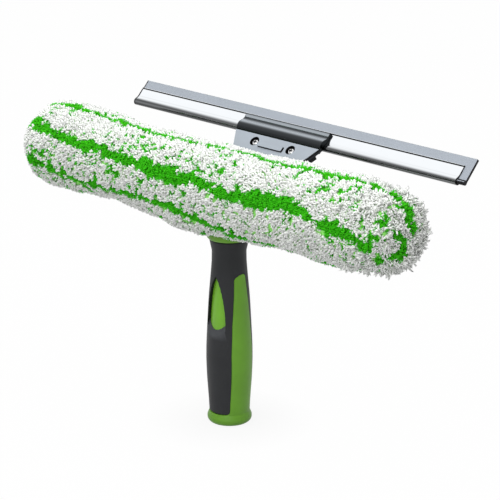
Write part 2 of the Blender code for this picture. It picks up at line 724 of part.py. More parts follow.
def squeegee_rubber():
    """Rubber blade with square tip and a round bulb that the channel's tube holds."""
    neck = math.asin(-BULB_OFFSET / BULB_RADIUS)
    neck_back = math.asin((-RUBBER_THICKNESS - BULB_OFFSET) / BULB_RADIUS)
    bulb = arc((BULB_DOWN, BULB_OFFSET), BULB_RADIUS, math.pi - neck, -math.pi - neck_back, 18)
    outline = [(0.0, -RUBBER_THICKNESS), (0.0, 0.0), *bulb]
    start = CHANNEL_SIDESTEP - CHANNEL_LENGTH / 2 - RUBBER_OVERHANG_LEFT
    middle = start + RUBBER_LENGTH / 2
    body = prism(
        "squeegee_rubber", [blade_yz(*p) for p in outline], RUBBER_LENGTH, SIDE_VIEW, middle
    )
    set_origin(body, (middle, *TUBE_AXIS))
    return finish(body, DARK, 0.5)


def clamp_outline():
    """Right edge of the clamp seen square to its plate: x, and the distance up from the plate's top."""
    return [
        (JAW_HALF_WIDTH, 30.0 * MM),
        (JAW_HALF_WIDTH, 4.0 * MM),
        (PLATE_HALF_WIDTH_TOP, 0.0),
        (PLATE_HALF_WIDTH_END, -PLATE_LENGTH),
    ]


def mirrored(right):
    """Both halves of an outline from its right half, listed from the top down."""
    return right + [(-x, y) for x, y in reversed(right)]


def clamp_openings(foot):
    """Cutters for the tab's window and the counterbores, down to a depth under the plate's face."""
    window = block(
        "tab_window",
        (-TAB_HALF_WIDTH - GAP, -TAB_END - GAP, -foot - MM),
        (TAB_HALF_WIDTH + GAP, -TAB_START + GAP, MM),
        PLATE_VIEW,
    )
    cutters = [window]
    for side in (-1, 1):
        place = PLATE_VIEW @ Matrix.Translation((side * CLAMP_SCREW_SPREAD, -CLAMP_SCREW_DOWN, 0))
        cutters.append(cylinder("counterbore", COUNTERBORE_RADIUS, -COUNTERBORE_DEPTH, MM, place, 32))
        cutters.append(cylinder("clamp_hole", CLAMP_SCREW_RADIUS + GAP, -foot - MM, 0, place))
    return cutters


def clamp_jaw():
    """Upper jaw that hugs the channel, with the backing that its two screws pull down."""
    bulb = Vector((BULB_DOWN, BULB_OFFSET))
    face = GAP + CHANNEL_WALL + GAP + JAW_LIP
    rise = face + JAW_FILLET - bulb.y
    run = math.sqrt((JAW_FILLET + JAW_TUBE_RADIUS) ** 2 - rise**2)
    start = bulb.x - run
    fillet = arc((start, face + JAW_FILLET), JAW_FILLET, -math.pi / 2, math.atan2(-rise, run), 5)
    tilt = BLADE_ANGLE - PLATE_ANGLE
    plate_edge = math.acos((TUBE_AHEAD - GAP) / JAW_TUBE_RADIUS)
    tube = arc(bulb, JAW_TUBE_RADIUS, math.atan2(rise, -run), plate_edge + tilt, 10)
    groove_middle = start - JAW_GROOVE
    outer = (
        [(JAW_START, face - JAW_LIP), (JAW_START, face), (groove_middle - JAW_GROOVE, face)]
        + [(groove_middle, face - JAW_GROOVE)]
        + fillet
        + tube[1:]
    )
    outline = [blade_yz(*point) for point in outer] + [
        plate_yz(-GAP, -BACKING_TOP_DEPTH),
        plate_yz(PLATE_LENGTH, -BACKING_TOP_DEPTH),
        plate_yz(PLATE_LENGTH, -BACKING_FOOT_DEPTH),
        plate_yz(-TUBE_AHEAD / 2, -BACKING_FOOT_DEPTH),
        tuple(TUBE_AXIS),
        blade_yz(JAW_START + 2 * MM, 0.0),
        blade_yz(JAW_START, 0.0),
    ]
    body = prism("clamp_jaw", outline, 2.4 * JAW_HALF_WIDTH, SIDE_VIEW)
    taper = prism("jaw_taper", mirrored(clamp_outline()), PAST_HEAD, PLATE_VIEW)
    combine(body, "INTERSECT", taper)
    combine(body, "DIFFERENCE", prism("jaw_channel_room", channel_room(), PAST_HEAD, SIDE_VIEW))
    combine(body, "DIFFERENCE", *clamp_openings(BACKING_FOOT_DEPTH))
    return finish(body, DARK, 0.3)


def clamp_plate():
    """Light face plate over the backing, with the tab's window and two screw openings."""
    outline = mirrored([(PLATE_HALF_WIDTH_TOP, 0.0), (PLATE_HALF_WIDTH_END, -PLATE_LENGTH)])
    body = prism("clamp_plate", outline, PLATE_THICKNESS, PLATE_VIEW, -PLATE_THICKNESS / 2)
    combine(body, "DIFFERENCE", *clamp_openings(PLATE_THICKNESS))
    return finish(body, LIGHT_GREY, 0.35, 0.3)


def clamp_fasteners():
    """Two cross-recess screws through plate and backing, and the square nuts they pull on."""
    places = {
        side: PLATE_VIEW @ Matrix.Translation((x, -CLAMP_SCREW_DOWN, 0))
        for side, x in (("left", -CLAMP_SCREW_SPREAD), ("right", CLAMP_SCREW_SPREAD))
    }
    profile = screw_profile(CLAMP_HEAD_RADIUS, CLAMP_HEAD_HEIGHT, CLAMP_SCREW_RADIUS, CLAMP_SCREW_LENGTH)
    screw = turned("clamp_screw", profile, 24)
    combine(screw, "DIFFERENCE", *cross_recess("clamp_recess", CLAMP_HEAD_RADIUS, CLAMP_HEAD_HEIGHT))
    finish(screw, STEEL, 0.2, 1.0)
    seat = Matrix.Translation((0, 0, GAP - COUNTERBORE_DEPTH))
    placed_copies(screw, {f"clamp_screw_{side}": place @ seat for side, place in places.items()})

    half = NUT_WIDTH / 2
    nut = block("clamp_nut", (-half, -half, -NUT_HEIGHT), (half, half, 0))
    hole = cylinder("nut_hole", CLAMP_SCREW_RADIUS + GAP, -2 * NUT_HEIGHT, NUT_HEIGHT)
    combine(nut, "DIFFERENCE", hole)
    finish(nut, (0.8, 0.6, 0.3), 0.35, 1.0)
    bed = Matrix.Translation((0, 0, -NUT_DEPTH))
    placed_copies(nut, {f"clamp_nut_{side}": place @ bed for side, place in places.items()})


def lock_button():
    """Raised tab in the plate's window, with a retaining lip and a hook under the tube."""
    lip_top = -FRAME_TOP_DEPTH
    lip_foot = lip_top - LIP_THICKNESS
    body = block(
        "lock_button",
        (-TAB_HALF_WIDTH, -TAB_END, lip_top - LIP_THICKNESS / 2),
        (TAB_HALF_WIDTH, -TAB_START, TAB_HEIGHT),
        PLATE_VIEW,
    )
    lip = block(
        "button_lip",
        (-TAB_HALF_WIDTH - LIP_WIDTH, -TAB_END - LIP_WIDTH, lip_foot),
        (TAB_HALF_WIDTH + LIP_WIDTH, -TAB_START + LIP_WIDTH, lip_top),
        PLATE_VIEW,
    )
    hook_top = -TUBE_DEPTH - TUBE_OUTER_RADIUS - GAP
    hook_foot = hook_top - HOOK_THICKNESS
    hook_tip = -TUBE_AHEAD - HOOK_REACH
    post_near, post_far = HOOK_POST
    hook_outline = [
        (post_far, lip_top - GAP),
        (post_near, lip_top - GAP),
        (post_near, hook_top),
        (hook_tip, hook_top),
        (hook_tip, hook_foot),
        (post_far, hook_foot),
    ]
    hook = prism("button_hook", [plate_yz(*p) for p in hook_outline], 2 * HOOK_HALF_WIDTH, SIDE_VIEW)
    place = PLATE_VIEW @ Matrix.Translation((0, -SPRING_DOWN, 0))
    pin_foot = lip_foot - SPRING_PIN_LENGTH
    pin = cylinder("spring_pin", SPRING_PIN_RADIUS, pin_foot, lip_foot + LIP_THICKNESS / 2, place)
    combine(body, "UNION", lip, hook, pin)
    body = plain_mesh(body)
    set_origin(body, (0.0, *plate_yz(SPRING_DOWN, 0.0)))
    return finish(body, DARK, 0.4)


def lock_spring():
    """Compression spring between the button's lip and the pocket in the head frame."""
    top = -FRAME_TOP_DEPTH - LIP_THICKNESS - GAP - SPRING_WIRE / 2
    steps = 10 * SPRING_TURNS
    curve = bpy.data.curves.new("lock_spring", "CURVE")
    curve.dimensions = "3D"
    curve.bevel_depth = SPRING_WIRE / 2
    curve.bevel_resolution = 1
    curve.use_fill_caps = True
    spline = curve.splines.new("POLY")
    spline.points.add(steps)
    for i, point in enumerate(spline.points):
        angle = math.tau * SPRING_TURNS * i / steps
        x = SPRING_RADIUS * math.cos(angle)
        y = SPRING_RADIUS * math.sin(angle)
        height = top - (SPRING_LENGTH - SPRING_WIRE) * i / steps
        point.co = (x, y - SPRING_DOWN, height, 1.0)
    pitch = (SPRING_LENGTH - SPRING_WIRE) / SPRING_TURNS
    print(f"lock spring: {pitch - SPRING_WIRE:.6f} m between its turns")
    return finish(plain_mesh(add("lock_spring", curve, PLATE_VIEW)), STEEL, 0.3, 1.0)


def stem_outline():
    """Side view of the stem between the flange and the T-bar, inside the sleeve's slot."""
    radius = BAR_RADIUS + GAP
    saddle = arc(BAR_AXIS, radius, SADDLE_FRONT_ANGLE, SADDLE_BACK_ANGLE, 8)
    return [(-STEM_FRONT, HEAD_FOOT + FLANGE_HEIGHT / 2), *saddle, above_head_foot(*STEM_BACK)]


def spine_outline():
    """Side view of the head frame's middle: stem, rear arm and the bed under the clamp."""
    reach = SLEEVE_RADIUS + SLEEVE_ARM_ROOM
    rim = Vector(plate_yz(PLATE_LENGTH + GAP + RIM_LENGTH, 0.0))
    rim_side = rim - BAR_AXIS
    arm_top = math.atan2(rim_side.y, rim_side.x) - math.radians(1.0)
    arm = arc(BAR_AXIS, reach, ARM_FOOT_ANGLE, arm_top, 8)
    return (
        stem_outline()
        + arm
        + [
            tuple(rim),
            plate_yz(PLATE_LENGTH + GAP, 0.0),
            plate_yz(PLATE_LENGTH + GAP, -FRAME_TOP_DEPTH),
            plate_yz(SPINE_START, -FRAME_TOP_DEPTH),
            plate_yz(SPINE_START, -SPINE_DEPTH),
            plate_yz(SPINE_BACK_END, -SPINE_DEPTH),
        ]
        + [above_head_foot(*point) for point in ARM_BACK]
        + [(FLANGE_RADIUS - MM, HEAD_FOOT + FLANGE_HEIGHT), (FLANGE_RADIUS - MM, HEAD_FOOT + MM)]
    )


def head_frame():
    """Frame with spigot, flange, stem, rear arm, wings and the lower jaw."""
    rim_end = PLATE_LENGTH + GAP + RIM_LENGTH
    spine_right = [
        (SPINE_HALF_WIDTH, 5 * MM),
        (SPINE_HALF_WIDTH, -SPINE_WIDE_END),
        (NECK_HALF_WIDTH, -SPINE_NECK_START),
        (NECK_HALF_WIDTH, -PAST_HEAD),
    ]
    body = prism("head_frame", spine_outline(), 2.4 * SPINE_HALF_WIDTH, SIDE_VIEW)
    combine(body, "INTERSECT", prism("spine_taper", mirrored(spine_right), PAST_HEAD, PLATE_VIEW))

    jaw_face = -RUBBER_THICKNESS - GAP - CHANNEL_WALL - GAP
    wing = prism(
        "frame_wing",
        [
            plate_yz(PLATE_LENGTH + GAP, -FRAME_TOP_DEPTH),
            plate_yz(-TUBE_AHEAD / 2, -FRAME_TOP_DEPTH),
            blade_yz(BULB_DOWN - 2 * MM, BULB_OFFSET),
            blade_yz(LOWER_JAW_START, BULB_OFFSET),
            blade_yz(LOWER_JAW_START, jaw_face - LOWER_JAW_LIP),
            blade_yz(BULB_DOWN + TUBE_OUTER_RADIUS, jaw_face - LOWER_JAW_ROOT),
            plate_yz(SPINE_START + 2 * MM, -WING_DEPTH_TOP),
            plate_yz(WING_MIDDLE, -WING_DEPTH_MIDDLE),
            plate_yz(PLATE_LENGTH + GAP, -WING_DEPTH_END),
        ],
        2.4 * JAW_HALF_WIDTH,
        SIDE_VIEW,
    )
    rim_share = (PLATE_HALF_WIDTH_TOP - PLATE_HALF_WIDTH_END) / PLATE_LENGTH
    wing_right = [
        (LOWER_JAW_HALF_WIDTH, 30.0 * MM),
        (LOWER_JAW_HALF_WIDTH, -LOWER_JAW_END),
        (PLATE_HALF_WIDTH_TOP - rim_share * WING_WIDE_START, -WING_WIDE_START),
        (PLATE_HALF_WIDTH_TOP - rim_share * rim_end, -rim_end),
    ]
    combine(wing, "INTERSECT", prism("wing_taper", mirrored(wing_right), PAST_HEAD, PLATE_VIEW))
    housing_half = HOOK_HALF_WIDTH + GAP + HOUSING_WALL
    hook_end = TUBE_AHEAD + HOOK_REACH + GAP + HOUSING_WALL
    hook_foot = TUBE_DEPTH + TUBE_OUTER_RADIUS + HOOK_THICKNESS + LOCK_TRAVEL + 2 * GAP
    housing = block(
        "hook_housing",
        (-housing_half, -SPINE_START - MM, -hook_foot - HOUSING_WALL),
        (housing_half, hook_end, -TUBE_DEPTH),
        PLATE_VIEW,
    )

    flange = cylinder("flange", FLANGE_RADIUS, HEAD_FOOT, HEAD_FOOT + FLANGE_HEIGHT, segments=40)
    spigot_foot = POLE_SOCKET_DEPTH + WEB_THICKNESS + SPIGOT_END_ROOM
    spigot = cylinder("spigot", SPIGOT_RADIUS, spigot_foot, HEAD_FOOT + MM, segments=32)
    key = block(
        "spigot_key",
        (-KEY_WIDTH / 2, 0.0, COLLAR_TOP - KEY_LENGTH),
        (KEY_WIDTH / 2, SPIGOT_RADIUS + KEY_HEIGHT, HEAD_FOOT + MM),
    )
    combine(body, "UNION", wing, housing, flange, spigot, key)

    combine(body, "DIFFERENCE", prism("frame_channel_room", channel_room(), PAST_HEAD, SIDE_VIEW))
    cut_head_pockets(body, spigot_foot)
    return finish(body, DARK, 0.45)


def cut_head_pockets(body, spigot_foot):
    """Pockets for the lock, the nuts and the screws of the head frame."""
    lip_foot = -FRAME_TOP_DEPTH - LIP_THICKNESS
    side_room = TAB_HALF_WIDTH + LIP_WIDTH + GAP
    lip_pocket = block(
        "lip_pocket",
        (-side_room, -TAB_END - LIP_WIDTH - GAP, lip_foot - LOCK_TRAVEL - GAP),
        (side_room, -TAB_START + LIP_WIDTH + GAP, 0.0),
        PLATE_VIEW,
    )
    hook_foot = -TUBE_DEPTH - TUBE_OUTER_RADIUS - GAP - HOOK_THICKNESS
    hook_room = HOOK_HALF_WIDTH + GAP
    hook_pocket = block(
        "hook_pocket",
        (-hook_room, -HOOK_POST[1] - GAP, hook_foot - LOCK_TRAVEL - GAP),
        (hook_room, TUBE_AHEAD + HOOK_REACH + GAP, 0.0),
        PLATE_VIEW,
    )
    place = PLATE_VIEW @ Matrix.Translation((0, -SPRING_DOWN, 0))
    floor = lip_foot - GAP - SPRING_LENGTH - GAP
    spring_room = SPRING_RADIUS + SPRING_WIRE / 2 + GAP
    spring_pocket = cylinder("spring_pocket", spring_room, floor, 0.0, place)
    combine(body, "DIFFERENCE", lip_pocket, hook_pocket, spring_pocket)
    for side in (-1, 1):
        place = PLATE_VIEW @ Matrix.Translation((side * CLAMP_SCREW_SPREAD, -CLAMP_SCREW_DOWN, 0))
        half = NUT_WIDTH / 2 + GAP
        nut_room = block("nut_room", (-half, -half, -SPINE_DEPTH - MM), (half, half, -NUT_DEPTH + GAP), place)
        hole = cylinder("frame_hole", CLAMP_SCREW_RADIUS + GAP, -NUT_DEPTH - MM, 0.0, place)
        combine(body, "DIFFERENCE", nut_room, hole)
        stem_hole = cylinder(
            "stem_hole",
            STEM_SCREW_RADIUS + GAP,
            BAR_RADIUS - MM,
            BAR_RADIUS - BAR_WALL - GAP + STEM_SCREW_LENGTH + GAP,
            stem_screw_place(side),
        )
        combine(body, "DIFFERENCE", stem_hole)
    head_seat = POLE_SOCKET_DEPTH - 2 * GAP - WASHER_THICKNESS
    pilot_end = head_seat + HANDLE_SCREW_LENGTH + GAP
    pilot = cylinder("spigot_pilot", HANDLE_SCREW_RADIUS + GAP, spigot_foot - MM, pilot_end)
    combine(body, "DIFFERENCE", pilot)


def stem_screw_place(side):
    """Frame of a stem screw: Z points from the T-bar's axis out to the stem."""
    out = Vector((0.0, math.cos(STEM_SCREW_ANGLE), math.sin(STEM_SCREW_ANGLE)))
    turn = Vector((0, 0, 1)).rotation_difference(out).to_matrix().to_4x4()
    return Matrix.Translation((side * STEM_SCREW_SPREAD, *BAR_AXIS)) @ turn


def bar_y_place(x):
    """Frame on the T-bar's axis whose Z points to the back, turned by half a facet."""
    facing_back = Matrix.Rotation(math.radians(-90), 4, "X")
    half_facet = Matrix.Rotation(math.radians(7.5), 4, "Z")
    return Matrix.Translation((x, *BAR_AXIS)) @ facing_back @ half_facet


def t_bar_half(name, facing):
    """One half shell of the T-bar; facing is -1 for the front half and 1 for the back."""
    inner = BAR_RADIUS - BAR_WALL
    split = GAP / 2
    outer_angle = math.acos(split / BAR_RADIUS)
    inner_angle = math.acos(split / inner)
    ring = arc((0.0, 0.0), BAR_RADIUS, -outer_angle, outer_angle, 20)
    ring += arc((0.0, 0.0), inner, inner_angle, -inner_angle, 20)
    outline = [(BAR_AXIS.x + facing * y, BAR_AXIS.y + z) for y, z in ring]
    length = BAR_LENGTH - 2 * (CAP_THICKNESS + GAP)
    body = prism(name, outline, length, SIDE_VIEW)
    for x in BAR_SCREW_PLACES:
        ends = sorted((facing * GAP, facing * (inner + BAR_WALL / 2)))
        combine(body, "UNION", cylinder("bar_boss", BOSS_RADIUS, *ends, bar_y_place(x), 12))
    for x in BAR_SCREW_PLACES:
        hole_end = BAR_SCREW_LENGTH - BAR_SCREW_SEAT + GAP
        hole_start = -BAR_SCREW_SEAT - MM
        hole = cylinder("bar_hole", BAR_SCREW_RADIUS + GAP, hole_start, hole_end, bar_y_place(x), 12)
        combine(body, "DIFFERENCE", hole)
    return body


def t_bar():
    """Two half shells, two end caps and the screws that join them."""
    front = t_bar_half("t_bar_front", -1)
    past_wall = -2 * BAR_RADIUS
    for x in BAR_SCREW_PLACES:
        wide = BAR_SCREW_HEAD_RADIUS + GAP
        room = cylinder("head_room", wide, past_wall, -BAR_SCREW_SEAT, bar_y_place(x), 12)
        combine(front, "DIFFERENCE", room)
    for x in WATER_HOLE_PLACES:
        for side in (-1, 1):
            hole = cylinder("water_hole", WATER_HOLE_RADIUS, past_wall, -MM, bar_y_place(side * x), 12)
            combine(front, "DIFFERENCE", hole)
    back = t_bar_half("t_bar_back", 1)
    for side in (-1, 1):
        reach = BAR_RADIUS + 2 * MM
        hole = cylinder("stem_screw_room", STEM_SCREW_RADIUS + GAP, 2 * MM, reach, stem_screw_place(side))
        combine(back, "DIFFERENCE", hole)
    finish(front, DARK, 0.5)
    finish(back, DARK, 0.5)

    outside = BAR_LENGTH / 2
    plug = BAR_RADIUS - BAR_WALL - GAP
    inside = outside - CAP_THICKNESS - CAP_PLUG_LENGTH
    for name, side in (("t_bar_cap_left", -1), ("t_bar_cap_right", 1)):
        profile = [
            (0.0, outside),
            (BAR_RADIUS - 0.6 * MM, outside),
            (BAR_RADIUS, outside - 0.6 * MM),
            (BAR_RADIUS, outside - CAP_THICKNESS),
            (plug, outside - CAP_THICKNESS),
            (plug, inside),
            (plug - CAP_PLUG_WALL, inside),
            (plug - CAP_PLUG_WALL, outside - CAP_THICKNESS),
            (0.0, outside - CAP_THICKNESS),
        ]
        place = Matrix.Translation((0, *BAR_AXIS)) @ Matrix.Rotation(side * math.radians(90), 4, "Y")
        finish(turned(name, profile, 32, place), DARK, 0.5)

    profile = screw_profile(BAR_SCREW_HEAD_RADIUS, BAR_SCREW_HEAD_HEIGHT, BAR_SCREW_RADIUS, BAR_SCREW_LENGTH)
    screw = turned("t_bar_screw", profile, 12)
    recess = cross_recess("t_bar_recess", BAR_SCREW_HEAD_RADIUS, BAR_SCREW_HEAD_HEIGHT)
    combine(screw, "DIFFERENCE", *recess)
    finish(screw, STEEL, 0.3, 1.0)
    head_out = Matrix.Translation((0, 0, -BAR_SCREW_SEAT - GAP)) @ Matrix.Rotation(math.pi, 4, "X")
    places = {f"t_bar_screw_{i + 1}": bar_y_place(x) @ head_out for i, x in enumerate(BAR_SCREW_PLACES)}
    placed_copies(screw, places)

    profile = screw_profile(
        STEM_SCREW_HEAD_RADIUS, STEM_SCREW_HEAD_HEIGHT, STEM_SCREW_RADIUS, STEM_SCREW_LENGTH
    )
    screw = turned("stem_screw", profile, 14)
    recess = cross_recess("stem_recess", STEM_SCREW_HEAD_RADIUS, STEM_SCREW_HEAD_HEIGHT)
    combine(screw, "DIFFERENCE", *recess)
    finish(screw, STEEL, 0.3, 1.0)
    seat = BAR_RADIUS - BAR_WALL - stem_seat_drop() - GAP
    head_in = Matrix.Translation((0, 0, seat)) @ Matrix.Rotation(math.pi, 4, "X")
    sides = {"stem_screw_left": -1, "stem_screw_right": 1}
    placed_copies(screw, {name: stem_screw_place(side) @ head_in for name, side in sides.items()})


def stem_seat_drop():
    """How far a flat screw head stands off the T-bar's round inner wall."""
    inner = BAR_RADIUS - BAR_WALL
    return inner - math.sqrt(inner**2 - STEM_SCREW_HEAD_RADIUS**2)


def slot_outline():
    """Side view of the sleeve's slot, wide enough for the stem."""
    stem = [Vector(point) for point in stem_outline()]
    front_foot, front_top, back_top, back_foot = stem[0], stem[1], stem[-2], stem[-1]
    arm_foot = arc(BAR_AXIS, SLEEVE_RADIUS + SLEEVE_ARM_ROOM, ARM_FOOT_ANGLE, ARM_FOOT_ANGLE, 1)[0]
    raw = [
        tuple(front_foot.lerp(front_top, -0.35)),
        tuple(front_foot.lerp(front_top, 1.15)),
        tuple(back_foot.lerp(back_top, 1.2)),
        tuple(back_foot),
        arm_foot,
        (arm_foot[0], HEAD_FOOT - 4 * MM),
    ]
    return grown(raw, SLOT_ROOM)


def tape_outline(inner, outer, room=0.0):
    """Side view of a tape that lies round the T-bar, with room to spare at its edges."""
    half = (TAPE_WIDTH / 2 + room) / (BAR_RADIUS + 2 * TAPE_THICKNESS)
    ring = arc(BAR_AXIS, outer, TAPE_ANGLE - half, TAPE_ANGLE + half, 8)
    return ring + arc(BAR_AXIS, inner, TAPE_ANGLE + half, TAPE_ANGLE - half, 8)


def lobe(angle, middle, below, above):
    """Soft hump round the sleeve, 1 at its middle angle and 0 beyond its reach."""
    away = angle - middle
    reach = above if away > 0 else below
    return math.cos(math.pi / 2 * away / reach) ** 2 if abs(away) < reach else 0.0


def sleeve_fullness(share, angle):
    """Radius of the sleeve against its plain radius, at a share of its half length and an angle."""
    top = smooth_value([(at, change) for at, change, _ in SLEEVE_FORM], share)
    low = smooth_value([(at, change) for at, _, change in SLEEVE_FORM], share)
    change = top * lobe(angle, *SLEEVE_TOP_LOBE) + low * lobe(angle, *SLEEVE_LOW_LOBE)
    return 1.0 + change / SLEEVE_RADIUS


def sleeve_stations():
    """Cross sections of the sleeve from left to right: place along X and plain radius."""
    start = SLEEVE_LENGTH / 2 - SLEEVE_END_LENGTH
    steps = 7
    end = []
    for i in range(1, steps + 1):
        angle = math.pi / 2 * i / steps
        radius = SLEEVE_RADIUS * math.sin(angle) ** (2 / SLEEVE_END_POWER)
        end.append((start + SLEEVE_END_LENGTH * math.cos(angle) ** (2 / SLEEVE_END_POWER), radius))
    count = max(2, round(2 * start / SLEEVE_STATION))
    straight = [(-start + 2 * start * i / count, SLEEVE_RADIUS) for i in range(1, count)]
    return [(-x, radius) for x, radius in end] + straight + end[::-1]


def sleeve_tube(segments):
    """Closed tube of the sleeve's outer shape, full at its ends and sagging over the handle."""
    half = SLEEVE_LENGTH / 2
    mesh = bpy.data.meshes.new("washer_sleeve")
    body = bmesh.new()
    rings = []
    for x, plain in sleeve_stations():
        ring = []
        for k in range(segments):
            angle = -180 + 360 * k / segments
            radius = plain * sleeve_fullness(x / half, angle)
            turn = math.radians(angle)
            place = (x, BAR_AXIS.x - radius * math.cos(turn), BAR_AXIS.y + radius * math.sin(turn))
            ring.append(body.verts.new(place))
        rings.append(ring)
    for first, second in zip(rings, rings[1:]):
        for k in range(segments):
            after = (k + 1) % segments
            body.faces.new((first[k], first[after], second[after], second[k]))
    for ring, x in ((rings[0], -half), (rings[-1], half)):
        pole = body.verts.new((x, *BAR_AXIS))
        for k in range(segments):
            body.faces.new((ring[k], ring[(k + 1) % segments], pole))
    bmesh.ops.recalc_face_normals(body, faces=body.faces)
    body.to_mesh(mesh)
    body.free()
    return add("washer_sleeve", mesh)


def washer_sleeve():
    """Pile sleeve with closed round ends, its bore for the T-bar and its slot for the stem."""
    place = Matrix.Translation((0, *BAR_AXIS)) @ ALONG_X
    body = sleeve_tube(36)
    bore_half = BAR_LENGTH / 2 + GAP
    bore = cylinder("sleeve_bore", BAR_RADIUS + GAP, -bore_half, bore_half, place, 32)
    slot = prism("sleeve_slot", slot_outline(), 2 * (NECK_HALF_WIDTH + SLOT_ROOM), SIDE_VIEW)
    loop_inner = BAR_RADIUS + 2 * GAP
    hook_inner = loop_inner + TAPE_THICKNESS + GAP
    tape_top = hook_inner + TAPE_THICKNESS
    middle = TAPE_START + TAPE_LENGTH / 2
    room = prism(
        "tape_room",
        tape_outline(BAR_RADIUS - MM, tape_top + GAP, GAP),
        TAPE_LENGTH + 2 * GAP,
        SIDE_VIEW,
        middle,
    )
    combine(body, "DIFFERENCE", bore, slot, room)
    finish(body, (0.8, 0.8, 0.78), 0.95)
    for name, inner in (("closure_loop_tape", loop_inner), ("closure_hook_tape", hook_inner)):
        tape = prism(name, tape_outline(inner, inner + TAPE_THICKNESS), TAPE_LENGTH, SIDE_VIEW, middle)
        finish(tape, (0.6, 0.6, 0.6), 0.9)


def main():
    handle_core()
    grip_overmould()
    handle_fasteners()
    head_frame()
    clamp_jaw()
    clamp_plate()
    clamp_fasteners()
    lock_button()
    lock_spring()
    squeegee_channel()
    squeegee_rubber()
    t_bar()
    washer_sleeve()


main()
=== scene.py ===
# %% [markdown]
# # A window washer on the foot of its handle
#
# The tool has two working edges on one handle: a long pile sleeve that wets and
# scrubs the glass, and a squeegee that wipes it dry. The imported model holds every
# solid at its real size. This lesson gives the solids their finishes, rounds their
# moulded edges, and grows the pile that makes the sleeve.

# %% Load the frame
import math

import bmesh
import bpy
import numpy as np
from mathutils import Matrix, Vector


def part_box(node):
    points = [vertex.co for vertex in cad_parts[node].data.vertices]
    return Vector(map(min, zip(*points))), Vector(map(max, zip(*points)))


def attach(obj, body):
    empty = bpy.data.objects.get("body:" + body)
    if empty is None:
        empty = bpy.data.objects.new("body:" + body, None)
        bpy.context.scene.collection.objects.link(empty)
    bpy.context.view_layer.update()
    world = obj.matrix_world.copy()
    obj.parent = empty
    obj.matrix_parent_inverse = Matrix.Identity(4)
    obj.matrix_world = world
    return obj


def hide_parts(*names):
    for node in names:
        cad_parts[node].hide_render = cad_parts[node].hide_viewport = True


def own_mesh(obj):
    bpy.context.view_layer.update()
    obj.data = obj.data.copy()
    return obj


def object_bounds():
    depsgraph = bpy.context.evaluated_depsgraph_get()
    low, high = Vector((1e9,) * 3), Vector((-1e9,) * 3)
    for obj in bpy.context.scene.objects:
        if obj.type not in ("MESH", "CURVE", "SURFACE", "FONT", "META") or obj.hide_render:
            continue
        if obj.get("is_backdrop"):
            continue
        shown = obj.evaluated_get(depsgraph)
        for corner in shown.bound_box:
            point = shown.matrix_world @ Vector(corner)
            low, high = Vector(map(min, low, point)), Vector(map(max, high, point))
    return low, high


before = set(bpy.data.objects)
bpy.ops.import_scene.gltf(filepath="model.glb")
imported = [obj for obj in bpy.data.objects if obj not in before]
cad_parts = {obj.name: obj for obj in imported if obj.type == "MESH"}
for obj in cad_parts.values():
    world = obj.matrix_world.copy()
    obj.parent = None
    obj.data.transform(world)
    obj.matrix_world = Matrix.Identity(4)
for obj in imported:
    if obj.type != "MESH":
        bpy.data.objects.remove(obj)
scene = bpy.context.scene
MM = 0.001
cad_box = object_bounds()

# %% [markdown]
# ## Places that the later steps share
#
# The sleeve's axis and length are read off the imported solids, so that every visible
# piece stays on what carries it. The two slopes are the ones that the solids have.

# %% Places of the sleeve and the squeegee
bar_low, bar_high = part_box("t_bar_cap_left")
AXIS_Y = (bar_low.y + bar_high.y) / 2
AXIS_Z = (bar_low.z + bar_high.z) / 2
sleeve_low, sleeve_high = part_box("washer_sleeve")
SLEEVE_HALF = (sleeve_high.x - sleeve_low.x) / 2
BLADE_ANGLE = math.radians(47.0)  # slope of the blade's face
PLATE_ANGLE = math.radians(40.5)  # slope of the clamp's face plate
print(f"sleeve axis y {AXIS_Y / MM:.2f} z {AXIS_Z / MM:.2f} mm, half length {SLEEVE_HALF / MM:.1f} mm")

# %% [markdown]
# ## The camera
#
# The photograph was taken with a long lens from the front right, a little above the
# tool. A long lens flattens the perspective, so the sleeve and the blade look almost
# parallel.


# %% Camera at the photograph's angle
def new_object(name, data):
    """A new object in the scene."""
    made = bpy.data.objects.new(name, data)
    scene.collection.objects.link(made)
    return made


lens = bpy.data.cameras.new("photo_camera")
lens.lens = 158.7
lens.sensor_width = 36.0
camera = new_object("photo_camera", lens)
camera.location = (1.1854, -1.1787, 0.6734)
camera.rotation_euler = (math.radians(72.35), 0.0, math.radians(44.88))
scene.camera = camera
print("camera at", [round(v, 3) for v in camera.location])

# %% [markdown]
# ## Small helpers for node trees
#
# Every material and every Geometry Nodes tree is a list of nodes and links. These
# helpers add one node in one line: settings go to the node, and each named input
# gets either a value or a link. Most return the output socket, for the next step.


# %% Helpers for nodes and arithmetic
def feed(tree, node, inputs):
    """Give a node's inputs, by name or number, a value or a link from an output socket."""
    for key, value in inputs.items():
        if isinstance(value, bpy.types.NodeSocket):
            tree.links.new(value, node.inputs[key])
        else:
            node.inputs[key].default_value = value


def put(tree, kind, inputs=None, **settings):
    """Add a node with its settings and its inputs."""
    made = tree.nodes.new(kind)
    for key, value in settings.items():
        setattr(made, key, value)
    feed(tree, made, inputs or {})
    return made


def maths(tree, operation, first, second):
    """Output socket of a step of arithmetic."""
    return put(tree, "ShaderNodeMath", {0: first, 1: second}, operation=operation).outputs[0]


def vector_maths(tree, operation, inputs, output=0):
    """Output socket of a step of arithmetic on places or directions."""
    return put(tree, "ShaderNodeVectorMath", inputs, operation=operation).outputs[output]


def from_range(tree, value, given, wanted):
    """Output socket of a number moved from one range to another."""
    inputs = {0: value, 1: given[0], 2: given[1], 3: wanted[0], 4: wanted[1]}
    return put(tree, "ShaderNodeMapRange", inputs).outputs[0]


# %% Helpers for colours and patterns
def grey(value):
    """A grey as a colour."""
    return (value, value, value, 1.0)


